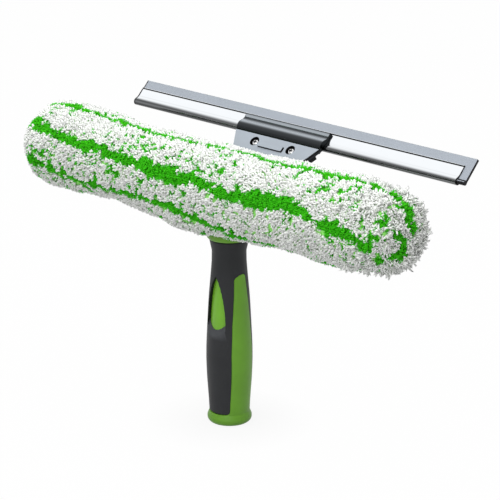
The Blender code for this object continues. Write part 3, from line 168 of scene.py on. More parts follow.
def blend_colours(tree, share, first, second, mode="MIX"):
    """Output socket of a colour mix."""
    inputs = {0: share, 6: first, 7: second}
    return put(tree, "ShaderNodeMix", inputs, data_type="RGBA", blend_type=mode).outputs[2]


def multiply(tree, first, second):
    """Output socket of one colour times another."""
    return blend_colours(tree, 1.0, first, second, "MULTIPLY")


def ramp(tree, value, *stops):
    """Output socket of a colour ramp through the stops, each a place and a grey or a colour."""
    made = put(tree, "ShaderNodeValToRGB", {"Fac": value})
    keys = made.color_ramp.elements
    while len(keys) < len(stops):
        keys.new(0.5)
    for key, (place, colour) in zip(keys, stops):
        key.position = place
        key.color = colour if isinstance(colour, tuple) else grey(colour)
    return made.outputs["Color"]


def object_place(tree):
    """Output socket of the place on the object, in metres."""
    return put(tree, "ShaderNodeTexCoord").outputs["Object"]


def stored_value(tree, name, output="Fac"):
    """Output socket of a value that the mesh stores at its points."""
    return put(tree, "ShaderNodeAttribute", attribute_name=name).outputs[output]


def noise(tree, place, per_metre, detail=2.0):
    """Outputs of a noise texture, of which the first is a number from 0 to 1."""
    return put(tree, "ShaderNodeTexNoise", {"Vector": place, "Scale": per_metre, "Detail": detail}).outputs


def relief(tree, strength, depth, height, normal=None):
    """Output socket of a normal that a height tilts."""
    inputs = {"Strength": strength, "Distance": depth, "Height": height}
    if normal is not None:
        inputs["Normal"] = normal
    return put(tree, "ShaderNodeBump", inputs).outputs[0]


# %% [markdown]
# ## Finishes that several materials share
#
# Moulded plastic has a fine spark-eroded grain, a faint mottle, and places where hands
# have made it smoother. Rolled metal has fine streaks along its length. Each effect is
# one node group with named inputs, so that each material sets its own strength.


# %% Group: grain of moulded plastic and rubber
MOTTLE_PER_METRE = 45.0
RUBS_PER_METRE = 18.0
PIT_DEPTH = 0.2 * MM


def surface_group(name, floats):
    """A new shader group with a colour in, and colour, roughness and normal out."""
    tree = bpy.data.node_groups.new(name, "ShaderNodeTree")
    tree.interface.new_socket("Colour", in_out="INPUT", socket_type="NodeSocketColor")
    for label, value in floats.items():
        socket = tree.interface.new_socket(label, in_out="INPUT", socket_type="NodeSocketFloat")
        socket.default_value = value
    for label, kind in (("Colour", "Color"), ("Roughness", "Float"), ("Normal", "Vector")):
        tree.interface.new_socket(label, in_out="OUTPUT", socket_type="NodeSocket" + kind)
    return tree


values = {"Grain Scale": 900.0, "Grain": 0.1, "Mottle": 0.08, "Roughness": 0.4}
moulded = surface_group("moulded_grain", values)
given = put(moulded, "NodeGroupInput").outputs
place = object_place(moulded)
pits = noise(moulded, place, given["Grain Scale"], 3.0)[0]
cloud = noise(moulded, place, MOTTLE_PER_METRE, 4.0)[0]
rubbed = noise(moulded, place, RUBS_PER_METRE)[0]
lighter = multiply(moulded, given["Colour"], ramp(moulded, cloud, (0.25, 0.72), (0.75, 1.25)))
mottled = blend_colours(moulded, given["Mottle"], given["Colour"], lighter)
swing = from_range(moulded, rubbed, (0.3, 0.7), (0.88, 1.12))
rough = maths(moulded, "MULTIPLY", given["Roughness"], swing)
pitted = relief(moulded, given["Grain"], PIT_DEPTH, pits)
put(moulded, "NodeGroupOutput", {"Colour": mottled, "Roughness": rough, "Normal": pitted})
print("group", moulded.name)

# %% Group: streaks of rolled or turned metal
STREAKS_PER_METRE = (6.0, 900.0, 900.0)  # long along the metal, and fine across it
SPOTS_PER_METRE = 60.0
STREAK_DEPTH = 0.1 * MM
rolled = surface_group("rolled_metal", {"Streaks": 0.06, "Roughness": 0.15, "Spots": 0.1})
given = put(rolled, "NodeGroupInput").outputs
place = object_place(rolled)
stretched = put(rolled, "ShaderNodeMapping", {"Vector": place, "Scale": STREAKS_PER_METRE}).outputs[0]
lines = noise(rolled, stretched, 1.0, 3.0)[0]
marks = noise(rolled, place, SPOTS_PER_METRE, 5.0)[0]
dull = multiply(rolled, given["Colour"], ramp(rolled, marks, (0.3, 0.86), (0.7, 1.0)))
spotted = blend_colours(rolled, given["Spots"], given["Colour"], dull)
swing = from_range(rolled, marks, (0.3, 0.7), (0.8, 1.25))
rough = maths(rolled, "MULTIPLY", given["Roughness"], swing)
streaked = relief(rolled, given["Streaks"], STREAK_DEPTH, lines)
put(rolled, "NodeGroupOutput", {"Colour": spotted, "Roughness": rough, "Normal": streaked})
print("group", rolled.name)


# %% A finish from one of the groups
def new_material(name):
    """A new material, its node tree and its shader."""
    made = bpy.data.materials.new(name)
    made.use_nodes = True
    return made, made.node_tree, made.node_tree.nodes["Principled BSDF"]


def finish(name, group, colour, values, metallic=0.0, gloss=0.5, tint=None):
    """A material from a group; tint names a stored value that multiplies the colour, which here carries
    painted light, shade or reflection.
    """
    made, tree, shader = new_material(name)
    base = (*colour, 1.0)
    if tint:
        base = multiply(tree, stored_value(tree, tint, "Color"), base)
    out = put(tree, "ShaderNodeGroup", {"Colour": base, **values}, node_tree=group).outputs
    links = {"Base Color": out["Colour"], "Roughness": out["Roughness"], "Normal": out["Normal"]}
    feed(tree, shader, {**links, "Metallic": metallic, "Specular IOR Level": gloss})
    return made


def plastic(name, colour, grain, mottle, roughness, gloss, pits_per_metre=900.0, tint=None):
    """A finish of moulded plastic or rubber."""
    values = {"Grain Scale": pits_per_metre, "Grain": grain, "Mottle": mottle, "Roughness": roughness}
    return finish(name, moulded, colour, values, gloss=gloss, tint=tint)


def metal(name, colour, roughness, streaks, spots, metallic=1.0, tint=None):
    """A finish of rolled or turned metal."""
    values = {"Streaks": streaks, "Roughness": roughness, "Spots": spots}
    return finish(name, rolled, colour, values, metallic, tint=tint)


# %% [markdown]
# ## The finishes of the hard pieces
#
# The handle's core is satin green plastic under a dark soft grip. The head and the
# clamp are dark plastic, the clamp's face plate is light grey, and the channel is
# polished stainless steel. The small steel, brass and zinc parts inside get their own
# finish too, because the model can be taken apart.

# %% Finishes of plastic and rubber
PLASTICS = (  # name, colour, grain, mottle, roughness, gloss, pits per metre, stored tint
    # the core and the grip take painted highlights and painted shade through their stored tint
    ("green_plastic", (0.120, 0.310, 0.018), 0.12, 0.35, 0.42, 0.35, 900.0, "worn"),
    ("grip_rubber", (0.0175, 0.0185, 0.0205), 0.35, 0.5, 0.55, 0.25, 1400.0, "worn"),
    ("black_plastic", (0.006, 0.006, 0.007), 0.2, 0.3, 0.5, 0.15),
    ("plate_grey", (0.318, 0.350, 0.393), 0.08, 0.15, 0.55, 0.25),
    ("bar_plastic", (0.012, 0.012, 0.013), 0.3, 0.3, 0.5, 0.5),
    # the blade's light grey face is a painted reflection on dark rubber
    ("blade_face", (0.310, 0.338, 0.379), 0.01, 0.12, 0.6, 0.1),
    ("blade_edge", (0.008, 0.008, 0.009), 0.15, 0.2, 0.55, 0.2),
)
green_plastic, grip_rubber, black_plastic, plate_grey, bar_plastic, blade_face, blade_edge = (
    plastic(*row) for row in PLASTICS
)
print("plastic and rubber finishes ready")

# %% Finishes of metal
METALS = (  # name, colour, roughness, streaks, spots, metallic, stored tint
    # the channel and the jaw take painted reflections through their stored tint
    ("polished_steel", (0.94, 0.97, 1.0), 0.10, 0.03, 0.1, 1.0, "polish"),
    ("jaw_shell", (0.84, 0.92, 1.0), 0.2, 0.02, 0.1, 1.0, "polish"),
    ("bright_plate", (0.92, 0.92, 0.93), 0.16, 0.05, 0.1),
    ("zinc_plate", (0.66, 0.67, 0.70), 0.32, 0.06, 0.5),
    ("spring_wire", (0.55, 0.56, 0.58), 0.28, 0.1, 0.1),
    # painted shade for the cross in a clamp screw's head
    ("dark_recess", (0.03, 0.03, 0.032), 0.5, 0.06, 0.4, 0.6),
    ("brass", (0.72, 0.52, 0.24), 0.30, 0.06, 0.6),
)
polished_steel, jaw_shell, bright_plate, zinc_plate, spring_wire, dark_recess, brass = (
    metal(*row) for row in METALS
)
print("metal finishes ready")

# %% [markdown]
# ## Rounded, smooth versions of the hard pieces
#
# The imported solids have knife-sharp edges, but a real moulding has a small radius on
# each edge, which catches a thin line of light. Each solid is copied and welded, its
# flat faces are merged, a Bevel rounds its edges, and weighted normals keep the flats
# flat. The copy then stands for the solid.


# %% Copy a solid and round its edges
WELD = 0.01 * MM
FLAT = math.radians(0.6)  # faces that turn less than this become one
SHARP = math.radians(38.0)  # edges that turn more than this are rounded and stay crisp
NEAR = 0.05 * MM  # points as close as this count as lying on an edge or a face


def node_points(node):
    """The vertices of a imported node."""
    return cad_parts[node].data.vertices


def welded_copy(node, name):
    """A copy of a node with its loose triangles welded and its flat faces merged."""
    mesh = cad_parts[node].data.copy()
    mesh.name = name
    mesh.materials.clear()
    shell = bmesh.new()
    shell.from_mesh(mesh)
    bmesh.ops.remove_doubles(shell, verts=shell.verts, dist=WELD)
    bmesh.ops.dissolve_limit(shell, angle_limit=FLAT, verts=shell.verts, edges=shell.edges)
    shell.to_mesh(mesh)
    shell.free()
    return new_object(name, mesh)


def made_plain(piece):
    """The piece's evaluated shape as a plain mesh, its modifiers gone."""
    bpy.context.view_layer.update()
    evaluated = piece.evaluated_get(bpy.context.evaluated_depsgraph_get())
    mesh = bpy.data.meshes.new_from_object(evaluated)
    mesh.name = piece.name
    piece.modifiers.clear()
    piece.data = mesh
    return piece


def rounded(node, name, width, *finishes, segments=2, shape=None):
    """A smooth copy of a node with rounded edges and its finishes, after an optional shape step."""
    piece = welded_copy(node, name)
    if shape:
        shape(piece.data)
    if width:
        edge = piece.modifiers.new("edge_round", "BEVEL")
        edge.width = width
        edge.segments = segments
        edge.limit_method = "ANGLE"
        edge.angle_limit = SHARP
        edge.use_clamp_overlap = True
        edge.miter_outer = "MITER_ARC"
        made_plain(piece)
    mesh = piece.data
    mesh.polygons.foreach_set("use_smooth", [True] * len(mesh.polygons))
    mesh.set_sharp_from_angle(angle=SHARP)
    weigh = piece.modifiers.new("flat_faces", "WEIGHTED_NORMAL")
    weigh.keep_sharp = True
    weigh.weight = 80
    made_plain(piece)
    for material in finishes:
        piece.data.materials.append(material)
    return piece


# %% Values on the points, and what carries a piece
def store(mesh, name, values):
    """Store a value per vertex."""
    layer = mesh.attributes.new(name, "FLOAT", "POINT")
    layer.data.foreach_set("value", np.asarray(values, dtype=np.float32))


def vertex_values(mesh, name):
    """Places or normals of the mesh's vertices, one row each."""
    flat = np.zeros(len(mesh.vertices) * 3)
    mesh.vertices.foreach_get(name, flat)
    return flat.reshape(-1, 3)


def carry(piece, body, slot, *nodes):
    """The piece rides on a body and stands for the nodes; the slot is not used."""
    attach(piece, body)
    if nodes:
        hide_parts(*nodes)
    print(piece.name, len(piece.data.polygons), "faces on", body)


# %% [markdown]
# ## The handle and the head
#
# The green in the thumb window is painted paler and the grip's ledge at the window's foot
# painted lighter, as painted highlights, and the ring on the ground is painted darker, as
# painted shade. Each point stores a share of its colour, because these places follow the
# mouldings' own edges.

# %% The green core
WINDOW_PAINTED_HIGHLIGHT = 1.28  # painted highlight: the green in the thumb window is painted paler
WINDOW_HALF, WINDOW_REAR, WINDOW_LOW, WINDOW_HIGH = 10.0, -20.0, 70.0, 140.0  # mm
RING_PAINTED_SHADE = 0.84  # painted shade: the ring that stands on the ground is painted a little darker
RING_FADE = (8.0, 14.0)  # mm up, between which that shade ends
core = rounded("handle_core", "handle_shell", 0.35 * MM, green_plastic)
across, back, up = vertex_values(core.data, "co").T / MM
in_window = (np.abs(across) < WINDOW_HALF) & (back < WINDOW_REAR) & (up > WINDOW_LOW) & (up < WINDOW_HIGH)
# painted highlight in the thumb window and painted shade on the foot ring, as shares of the green
store(core.data, "worn", np.where(in_window, WINDOW_PAINTED_HIGHLIGHT, np.interp(up, RING_FADE, (RING_PAINTED_SHADE, 1.0))))
print("window points:", int(in_window.sum()))
carry(core, "washer_body", "green_plastic", "handle_core")

# %% The soft grip and the head
LEDGE_PAINTED_HIGHLIGHT = 2.6  # painted highlight: the thumb window's sloping foot is painted lighter than the grip
LEDGE_LOW, LEDGE_HIGH, LEDGE_REAR = 76.0 * MM, 89.0 * MM, -22.0 * MM
LEDGE_SLOPE = (0.4, 0.6)  # how far up its faces look
grip = rounded("grip_overmould", "soft_grip", 0.5 * MM, grip_rubber, segments=3)
worn = np.ones(len(grip.data.vertices))
for face in grip.data.polygons:
    on_ledge = LEDGE_LOW < face.center.z < LEDGE_HIGH and face.center.y < LEDGE_REAR
    if on_ledge and LEDGE_SLOPE[0] < face.normal.z < LEDGE_SLOPE[1]:
        worn[list(face.vertices)] = LEDGE_PAINTED_HIGHLIGHT
# painted highlight on the sloping ledge, as a share of the grip's colour
store(grip.data, "worn", worn)
print("ledge points:", int(np.sum(worn > 1.0)))
carry(grip, "washer_body", "grip_rubber", "grip_overmould")
head = rounded("head_frame", "head_moulding", 0.3 * MM, black_plastic)
carry(head, "washer_body", "black_plastic", "head_frame")

# %% [markdown]
# ## The clamp's plate and its tab
#
# The plate and the tab are light where they face the user and dark at their sides, so
# each has two finishes, and a face takes one of them by where it looks.


# %% Pieces with a light face and dark sides
def two_tone(piece, direction, least=0.8):
    """Faces that look along the direction get the second finish, and the rest the first."""
    for face in piece.data.polygons:
        face.material_index = int(face.normal.dot(direction) > least)
    return piece


plate_out = Vector((0.0, -math.sin(PLATE_ANGLE), math.cos(PLATE_ANGLE)))
blade_out = Vector((0.0, -math.sin(BLADE_ANGLE), math.cos(BLADE_ANGLE)))
plate = two_tone(rounded("clamp_plate", "face_plate", 0.15 * MM, black_plastic, plate_grey), plate_out)
carry(plate, "washer_body", "satin_aluminium", "clamp_plate")
tab = two_tone(rounded("lock_button", "lock_tab", 0.15 * MM, black_plastic, plate_grey), plate_out, 0.9)
carry(tab, "lock", "button_plastic", "lock_button")

# %% [markdown]
# ## Painted reflection and shade on the jaw, the channel and the blade
#
# The jaw and the channel are bright and rolled, so their look is a pattern of dark and
# light reflections. These are painted: a painted reflection is stored on the points as a
# share of the metal's own colour, with painted shade in the groove and at the cut ends,
# and plane cuts give it points to lie on. The blade's face carries a painted reflection
# and its left end a painted shade.


# %% Cuts that give a pattern its points
def cut_across(mesh, *cuts):
    """Cut a mesh by planes, each a place and a direction, so that points lie on them."""
    shell = bmesh.new()
    shell.from_mesh(mesh)
    for place, direction in cuts:
        everything = shell.verts[:] + shell.edges[:] + shell.faces[:]
        bmesh.ops.bisect_plane(shell, geom=everything, plane_co=place, plane_no=direction)
    shell.to_mesh(mesh)
    shell.free()


def cross_cut(place):
    """A cut square to the tool's length, at a place along it."""
    return Vector((place, 0, 0)), Vector((1, 0, 0))


# %% The jaw's painted reflection bands
PAINTED_DARK = 0.02  # painted shade and painted dark reflection: share of the metal's colour at a cut end or in a groove
# width of the painted dark strip at each end of the jaw
JAW_END = 0.6 * MM
BAND_TILT = math.radians(29.0)
band_up = Vector((0.0, math.sin(BAND_TILT), math.cos(BAND_TILT)))
JAW_PAINTED_REFLECTION = (  # painted reflection: mm down from the jaw's upper edge, share of the metal's colour
    (0.1, 0.06), (0.5, 0.10), (0.95, 0.36), (1.85, 0.46), (3.15, 0.46), (3.75, 0.11), (4.35, 0.065),
    (5.0, 0.12), (5.7, 0.31), (6.5, 0.52), (7.3, 0.49), (8.1, 0.38), (8.8, 0.16), (9.5, 0.07),
    (10.2, 0.053), (11.0, 0.047), (11.8, 0.045), (12.8, 0.03),
)
jaw_top = band_up * max(v.co.dot(band_up) for v in node_points("clamp_jaw"))


def jaw_cuts(mesh):
    """Points for the jaw's painted reflection bands, and a narrow painted dark strip at each end."""
    cuts = [(jaw_top - band_up * (down * MM), band_up) for down, share in JAW_PAINTED_REFLECTION]
    reach = max(v.co.x for v in mesh.vertices) - JAW_END
    cut_across(mesh, *cuts, cross_cut(reach), cross_cut(-reach))


jaw = rounded("clamp_jaw", "jaw_cover", 0.25 * MM, jaw_shell, shape=jaw_cuts)
places = vertex_values(jaw.data, "co")
jaw_down = (jaw_top.dot(band_up) - places @ np.array(band_up)) / MM
jaw_painted_reflection = np.interp(jaw_down, *zip(*JAW_PAINTED_REFLECTION))
jaw_painted_dark_end = np.max(np.abs(places[:, 0])) - np.abs(places[:, 0]) < JAW_END / 2
# painted reflection bands on the jaw, and a painted dark strip at each end
store(jaw.data, "polish", np.where(jaw_painted_dark_end, PAINTED_DARK, jaw_painted_reflection))
carry(jaw, "washer_body", "gloss_black", "clamp_jaw")

# %% Places of the channel's groove and its painted reflection and shade
blade_down = Vector((0.0, -math.cos(BLADE_ANGLE), -math.sin(BLADE_ANGLE)))
blade_tip = max((v.co.copy() for v in node_points("squeegee_rubber")), key=lambda co: co.z)
blade_tip.x = 0.0
lip_down = min((v.co - blade_tip).dot(blade_down) for v in node_points("squeegee_channel"))
GROOVE = (0.25 * MM, 0.35 * MM, 1.40 * MM, 1.50 * MM)  # its walls, down from the lip
GROOVE_DEPTH = 0.22 * MM
SHEET_FRONT = 0.9 * MM  # points further out than this lie on the sheet's front
PAINTED_REFLECTION_DROP = 4.1  # mm that the painted reflection drops along one metre of channel, from left to right
PAINTED_DARK_ENDS = ((1.3 * MM, 1.7 * MM), (0.25 * MM, 0.5 * MM))  # width of the painted dark end and where its strip ends, left and right
CHANNEL_PAINTED_REFLECTION = (  # painted reflection: mm up from the channel's lowest edge, share of the metal's colour
    (0.0, 0.05), (0.5, 0.06), (1.24, 0.17), (1.97, 0.20), (2.7, 0.09), (3.43, 0.09),
    (4.16, 0.24), (4.9, 0.70), (5.6, 1.0), (6.5, 1.0), (7.1, 0.86), (7.7, 1.0),
)
channel_ends = [corner.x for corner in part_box("squeegee_channel")]
channel_foot = band_up * min(v.co.dot(band_up) for v in node_points("squeegee_channel"))
print("channel ends at", [round(end / MM, 1) for end in channel_ends], "mm")


# %% Groove, painted reflection and painted shade of the channel
def end_cuts(ends):
    """Cuts at the edges of the painted dark strips at the left and the right end."""
    strips = zip(ends, (1, -1), PAINTED_DARK_ENDS)
    return [cross_cut(end + side * width) for end, side, widths in strips for width in widths]


def over_groove(down, out, front):
    """Whether places are between the groove's walls, and further out than the front."""
    return (GROOVE[0] + NEAR < down) & (down < GROOVE[3] - NEAR) & (out > front)


def groove(mesh):
    """Press the groove into the channel's front and cut a narrow strip at each end."""
    cuts = [(blade_tip + blade_down * (lip_down + place), blade_down) for place in GROOVE]
    cuts += [(channel_foot + band_up * (up * MM), band_up) for up, share in CHANNEL_PAINTED_REFLECTION[1:]]
    cut_across(mesh, *cuts, *end_cuts(channel_ends))
    for vert in mesh.vertices:
        from_tip = vert.co - blade_tip
        if over_groove(from_tip.dot(blade_down) - lip_down, from_tip.dot(blade_out), SHEET_FRONT):
            vert.co -= blade_out * GROOVE_DEPTH


channel = rounded("squeegee_channel", "metal_channel", 0.1 * MM, polished_steel, segments=1, shape=groove)
places = vertex_values(channel.data, "co")
above_foot = (places @ np.array(band_up) - channel_foot.dot(band_up)) / MM + PAINTED_REFLECTION_DROP * places[:, 0]
polish = np.interp(above_foot, *zip(*CHANNEL_PAINTED_REFLECTION))
from_tip = places - np.array(blade_tip)
down = from_tip @ np.array(blade_down) - lip_down
painted_dark_groove = over_groove(down, from_tip @ np.array(blade_out), SHEET_FRONT - GROOVE_DEPTH)
from_ends = [np.abs(places[:, 0] - end) - widths[0] for end, widths in zip(channel_ends, PAINTED_DARK_ENDS)]
painted_dark_end = np.min(from_ends, axis=0) < NEAR
# painted reflection on the channel, painted shade in its groove and painted dark strips at its ends
store(channel.data, "polish", np.where(painted_dark_groove | painted_dark_end, PAINTED_DARK, polish))
carry(channel, "channel", "polished_steel", "squeegee_channel")

# %% The blade with its painted dark left end
# painted shade: the blade's front near its left end takes the dark rubber finish
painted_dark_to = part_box("squeegee_rubber")[0].x + PAINTED_DARK_ENDS[0][0]
rubber = rounded(
    "squeegee_rubber", "blade", 0.1 * MM, blade_edge, blade_face, segments=1,
    shape=lambda mesh: cut_across(mesh, cross_cut(painted_dark_to)),
)
# painted reflection: the face that looks out takes the light grey, the rest the dark rubber
two_tone(rubber, blade_out, 0.985)
for face in rubber.data.polygons:
    if face.center.x < painted_dark_to:
        face.material_index = 0
carry(rubber, "rubber", "blade_rubber", "squeegee_rubber")

# %% [markdown]
# ## Screws, nuts, spring and T-bar
#
# The small parts have their real shape already. Each gets the finish of its own metal
# or plastic, and the screws get rounded edges. The cross in a clamp screw's head lies
# in shadow, so its sunk faces get a dark finish, a painted shade.

# %% The cross in a clamp screw's head
RECESS_RADIUS = 1.9 * MM
RECESS_TOP = 0.1 * MM  # faces deeper than this are in the cross
CLAMP_HEAD = 1.3 * MM  # and faces deeper than this are below the head


def darken_recess(piece):
    """The faces sunk into a clamp screw's head get the second, dark finish, a painted shade."""
    head_top = max(v.co.dot(plate_out) for v in piece.data.vertices)
    rim = [v.co for v in piece.data.vertices if head_top - v.co.dot(plate_out) < NEAR]
    centre = sum(rim, Vector()) / len(rim)
    for face in piece.data.polygons:
        away = face.center - centre
        depth = -away.dot(plate_out)
        sunk = depth > RECESS_TOP and (away + plate_out * depth).length < RECESS_RADIUS
        face.material_index = int(sunk and depth < CLAMP_HEAD)


# %% Finishes of the small parts
SMALL_PARTS = (  # how the node's name starts, its finishes, its slot
    (("clamp_screw",), (bright_plate, dark_recess), "bright_screw"),
    (("t_bar_screw", "stem_screw", "handle_screw"), (zinc_plate,), "zinc_screw"),
    (("clamp_nut",), (brass,), "brass_nut"),
    (("lock_spring",), (spring_wire,), "spring_steel"),
    (("t_bar",), (bar_plastic,), "bar_plastic"),
)
SCREW_EDGE = 0.08 * MM
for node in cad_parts:
    kinds = [row for row in SMALL_PARTS if node.startswith(row[0])]
    if kinds:
        finishes, slot = kinds[0][1:]
        width = SCREW_EDGE if "screw" in node else 0.0
        piece = rounded(node, "fine_" + node, width, *finishes, segments=1)
        if dark_recess in finishes:
            darken_recess(piece)
        carry(piece, "washer_body", slot, node)

# %% [markdown]
# ## The spring under the tab
#
# A rigid coil would stick out of the pressed tab. Here the spring's copy only gets a
# mesh of its own.

# %% The lock's spring gets a mesh of its own
spring = bpy.data.objects["fine_lock_spring"]
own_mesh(spring)

# %% [markdown]
# ## The sleeve's cloth
#
# The sleeve is a padded tube of cloth, closed at both ends, with a slot for the stem.
# Its CAD solid has the shape of the pile's tips, with its slack waist, its full ends
# and its sag over the handle. The cloth lies a few millimetres further in: a voxel
# remesh turns the solid into an even skin, and each outside point moves inwards.

# %% Smooth noise and places on the sleeve
GRID = 64


def lattice_noise(first, second, seed):
    """Smooth noise from -1 to 1 on a plane."""
    rng = np.random.default_rng(seed)
    grid = rng.uniform(-1.0, 1.0, (GRID, GRID))
    i, j = np.floor(first).astype(int), np.floor(second).astype(int)
    u, v = first - i, second - j
    u, v = u * u * (3 - 2 * u), v * v * (3 - 2 * v)
    left, right, near, far = i % GRID, (i + 1) % GRID, j % GRID, (j + 1) % GRID
    low = grid[left, near] * (1 - u) + grid[right, near] * u
    high = grid[left, far] * (1 - u) + grid[right, far] * u
    return low * (1 - v) + high * v


def round_place(co):
    """Distance along the axis, angle up from the front in degrees, and distance from the axis."""
    forward = AXIS_Y - co[:, 1]
    up = co[:, 2] - AXIS_Z
    return co[:, 0], np.degrees(np.arctan2(up, forward)), np.hypot(forward, up)


def move_points(mesh, places):
    """Put the mesh's vertices at new places."""
    mesh.vertices.foreach_set("co", places.ravel())
    mesh.update()


# %% Even skin for the sleeve
PILE_DEPTH = 2.9 * MM
ROUND_END = 22.0 * MM  # length of a rounded end
INNER_RADIUS = 22.0 * MM  # nothing nearer to the axis carries pile
OUTWARD, OUTWARD_AT_END = 0.35, 0.15  # least share by which a point with pile looks outwards
skin = welded_copy("washer_sleeve", "sleeve_cloth")
even = skin.modifiers.new("even", "REMESH")
even.mode = "VOXEL"
even.voxel_size = 1.5 * MM
made_plain(skin)
points = vertex_values(skin.data, "co")
normals = vertex_values(skin.data, "normal")
along, turn, radius = round_place(points)
radial = normals[:, 1] * (points[:, 1] - AXIS_Y) + normals[:, 2] * (points[:, 2] - AXIS_Z)
radial /= np.maximum(radius, MM)
end_facing = (normals[:, 0] * np.sign(along) > OUTWARD_AT_END) & (np.abs(along) > SLEEVE_HALF - ROUND_END)
outside = (radial > OUTWARD) & (radius > INNER_RADIUS) | end_facing
print("sleeve skin:", len(points), "points, outside share", round(float(outside.mean()), 3))

# %% Small lumps of the padded tube
WAVES = ((0.5 * MM, 95.0, 0.06), (0.4 * MM, 210.0, -0.1))  # height, swing per metre and per degree
lumps = sum(height * np.sin(along * metre + turn * degree) for height, metre, degree in WAVES)
LUMP = 0.7 * MM
lumps += LUMP * lattice_noise(along * 45, np.radians(turn) * 1.6, 3)
move = np.where(outside, lumps - PILE_DEPTH, 0.0)
move_points(skin.data, points + normals * move[:, None])
soft = skin.modifiers.new("even_out", "SMOOTH")
soft.iterations = 6
soft.factor = 0.5
made_plain(skin)
points = vertex_values(skin.data, "co")
along, turn, radius = round_place(points)
print("cloth moved in by", PILE_DEPTH * 1000, "mm on average")

# %% [markdown]
# ## Where the pile is white and where it is green
#
# Bright green stripes wander along the sleeve, because the cloth strips were sewn by
# feel. Between them the pile is white with green flecks. Both are worked out as one
# green share for each point of the skin, and noise makes its edges ragged.

# %% Middle lines of the stripes
STRIPES = (  # points of (mm along the sleeve, degrees up from the front), half width in mm
    (((-190, 84), (-155, 83), (-114, 82), (-102, 85), (-83, 84), (-54, 79), (-30, 78), (-3, 83), (9, 86),
      (27, 83), (45, 89), (65, 83), (87, 82), (106, 85), (129, 82), (158, 85), (175, 86), (190, 89)), 2.5),
    (((-192, 38), (-174, 37), (-150, 32), (-133, 28), (-117, 25), (-102, 27), (-86, 24), (-53, 22),
      (-18, 18), (15, 19), (32, 16), (49, 13), (70, 16), (100, 21), (112, 22), (123, 20), (134, 15),
      (141, 9), (149, 10), (157, 8), (169, 6), (179, -2), (188, -8)), 3.9),
    (((-190, -18), (-169, -19), (-145, -24), (-128, -28), (-89, -30), (-49, -26), (-14, -27), (2, -31),
      (33, -40), (62, -52), (110, -64), (190, -76)), 2.6),
    (((-190, -82), (-90, -92), (0, -88), (90, -95), (190, -86)), 3.2),
    (((-190, -150), (-100, -143), (0, -152), (100, -146), (190, -155)), 3.4),
    (((-190, 150), (-90, 146), (10, 155), (110, 148), (190, 152)), 3.6),
)
WIDER = (  # points of (mm along the sleeve, share of the width) for the first two stripes
    ((-190, 1.1), (100, 1.1), (135, 1.4), (150, 1.6), (188, 1.7)),
    ((-60, 1.1), (-18, 1.35), (10, 1.1), (60, 1.2), (112, 1.5), (134, 1.0), (141, 0.3), (149, 1.4),
     (165, 1.7), (180, 1.0), (188, 0.8)),
)
END_PATCHES = (  # mm along the sleeve, behind its axis and above it, and the patch's radius
    (191, -1, 31, 3.0), (196, -6, 24, 2.5), (197, 0, 23, 3.0), (197, 4, 23, 2.5), (199, 1, 18, 3.0),
    (200, 0, 13, 2.6), (201, 0, 9, 3.6), (201, 4, 8, 2.5), (201, -9, -1, 3.0), (201, -8, -5, 3.0),
    (200, -9, -11, 3.5), (200, -14, 4, 2.6), (195, -20, 17, 2.6), (193, -23, 16, 2.0), (191, -30, 4, 2.2),
    (190, -30, -6, 2.4), (184, -34, -4, 2.6), (196, -23, -7, 2.8), (198, -17, -10, 2.8),
    (-181, -34, -8, 2.6), (-174, -34, -9, 2.4),
)
STRIPE_END = 189.0 * MM
GIRTH_RADIUS = 33.0 * MM
print("stripes:", len(STRIPES), "end patches:", len(END_PATCHES))

# %% Green share of the stripes and the patches
RAGGED = 1.7 * MM  # how far a stripe's edge strays
WANDER = 0.7 * MM  # how far its middle strays
UNEVEN = 0.3  # share by which its width varies
SOFT_EDGE = 0.8 * MM
PATCH_RAGGED = 600  # mm that a patch's edge strays per metre that a stripe's does
PATCH_DEEPER = 800  # mm per metre of pile, as a patch is measured at the tips
arc_place = np.radians(turn) * GIRTH_RADIUS


def cloth_noise(per_metre, seed):
    """Smooth noise over the cloth."""
    return lattice_noise(along * per_metre, arc_place * per_metre, seed)


ragged = RAGGED * cloth_noise(330, 8)
stripe = np.zeros(len(points))
for number, (line, half) in enumerate(STRIPES):
    middle = np.interp(along * 1000, *zip(*line))
    away = np.radians((turn - middle + 180.0) % 360.0 - 180.0) * np.minimum(radius, GIRTH_RADIUS)
    away += WANDER * cloth_noise(140, 11 + number)
    width = half * MM * (1.0 + UNEVEN * lattice_noise(along * 70, away * 0, 31 + number)) + ragged
    if number < len(WIDER):
        width *= np.interp(along * 1000, *zip(*WIDER[number]))
    width = np.where(np.abs(along) > STRIPE_END, -1.0, width)
    stripe = np.maximum(stripe, np.clip((width - np.abs(away)) / SOFT_EDGE + 0.5, 0.0, 1.0))
for x, behind, above, reach in END_PATCHES:
    middle = (x, behind + AXIS_Y * 1000, above + AXIS_Z * 1000)
    away = np.linalg.norm(points * 1000 - middle, axis=1)
    inside = reach + ragged * PATCH_RAGGED + PILE_DEPTH * PATCH_DEEPER - away
    stripe = np.maximum(stripe, np.clip(inside + 0.5, 0.0, 1.0))
print("stripe share:", round(float(stripe[outside].mean()), 3))

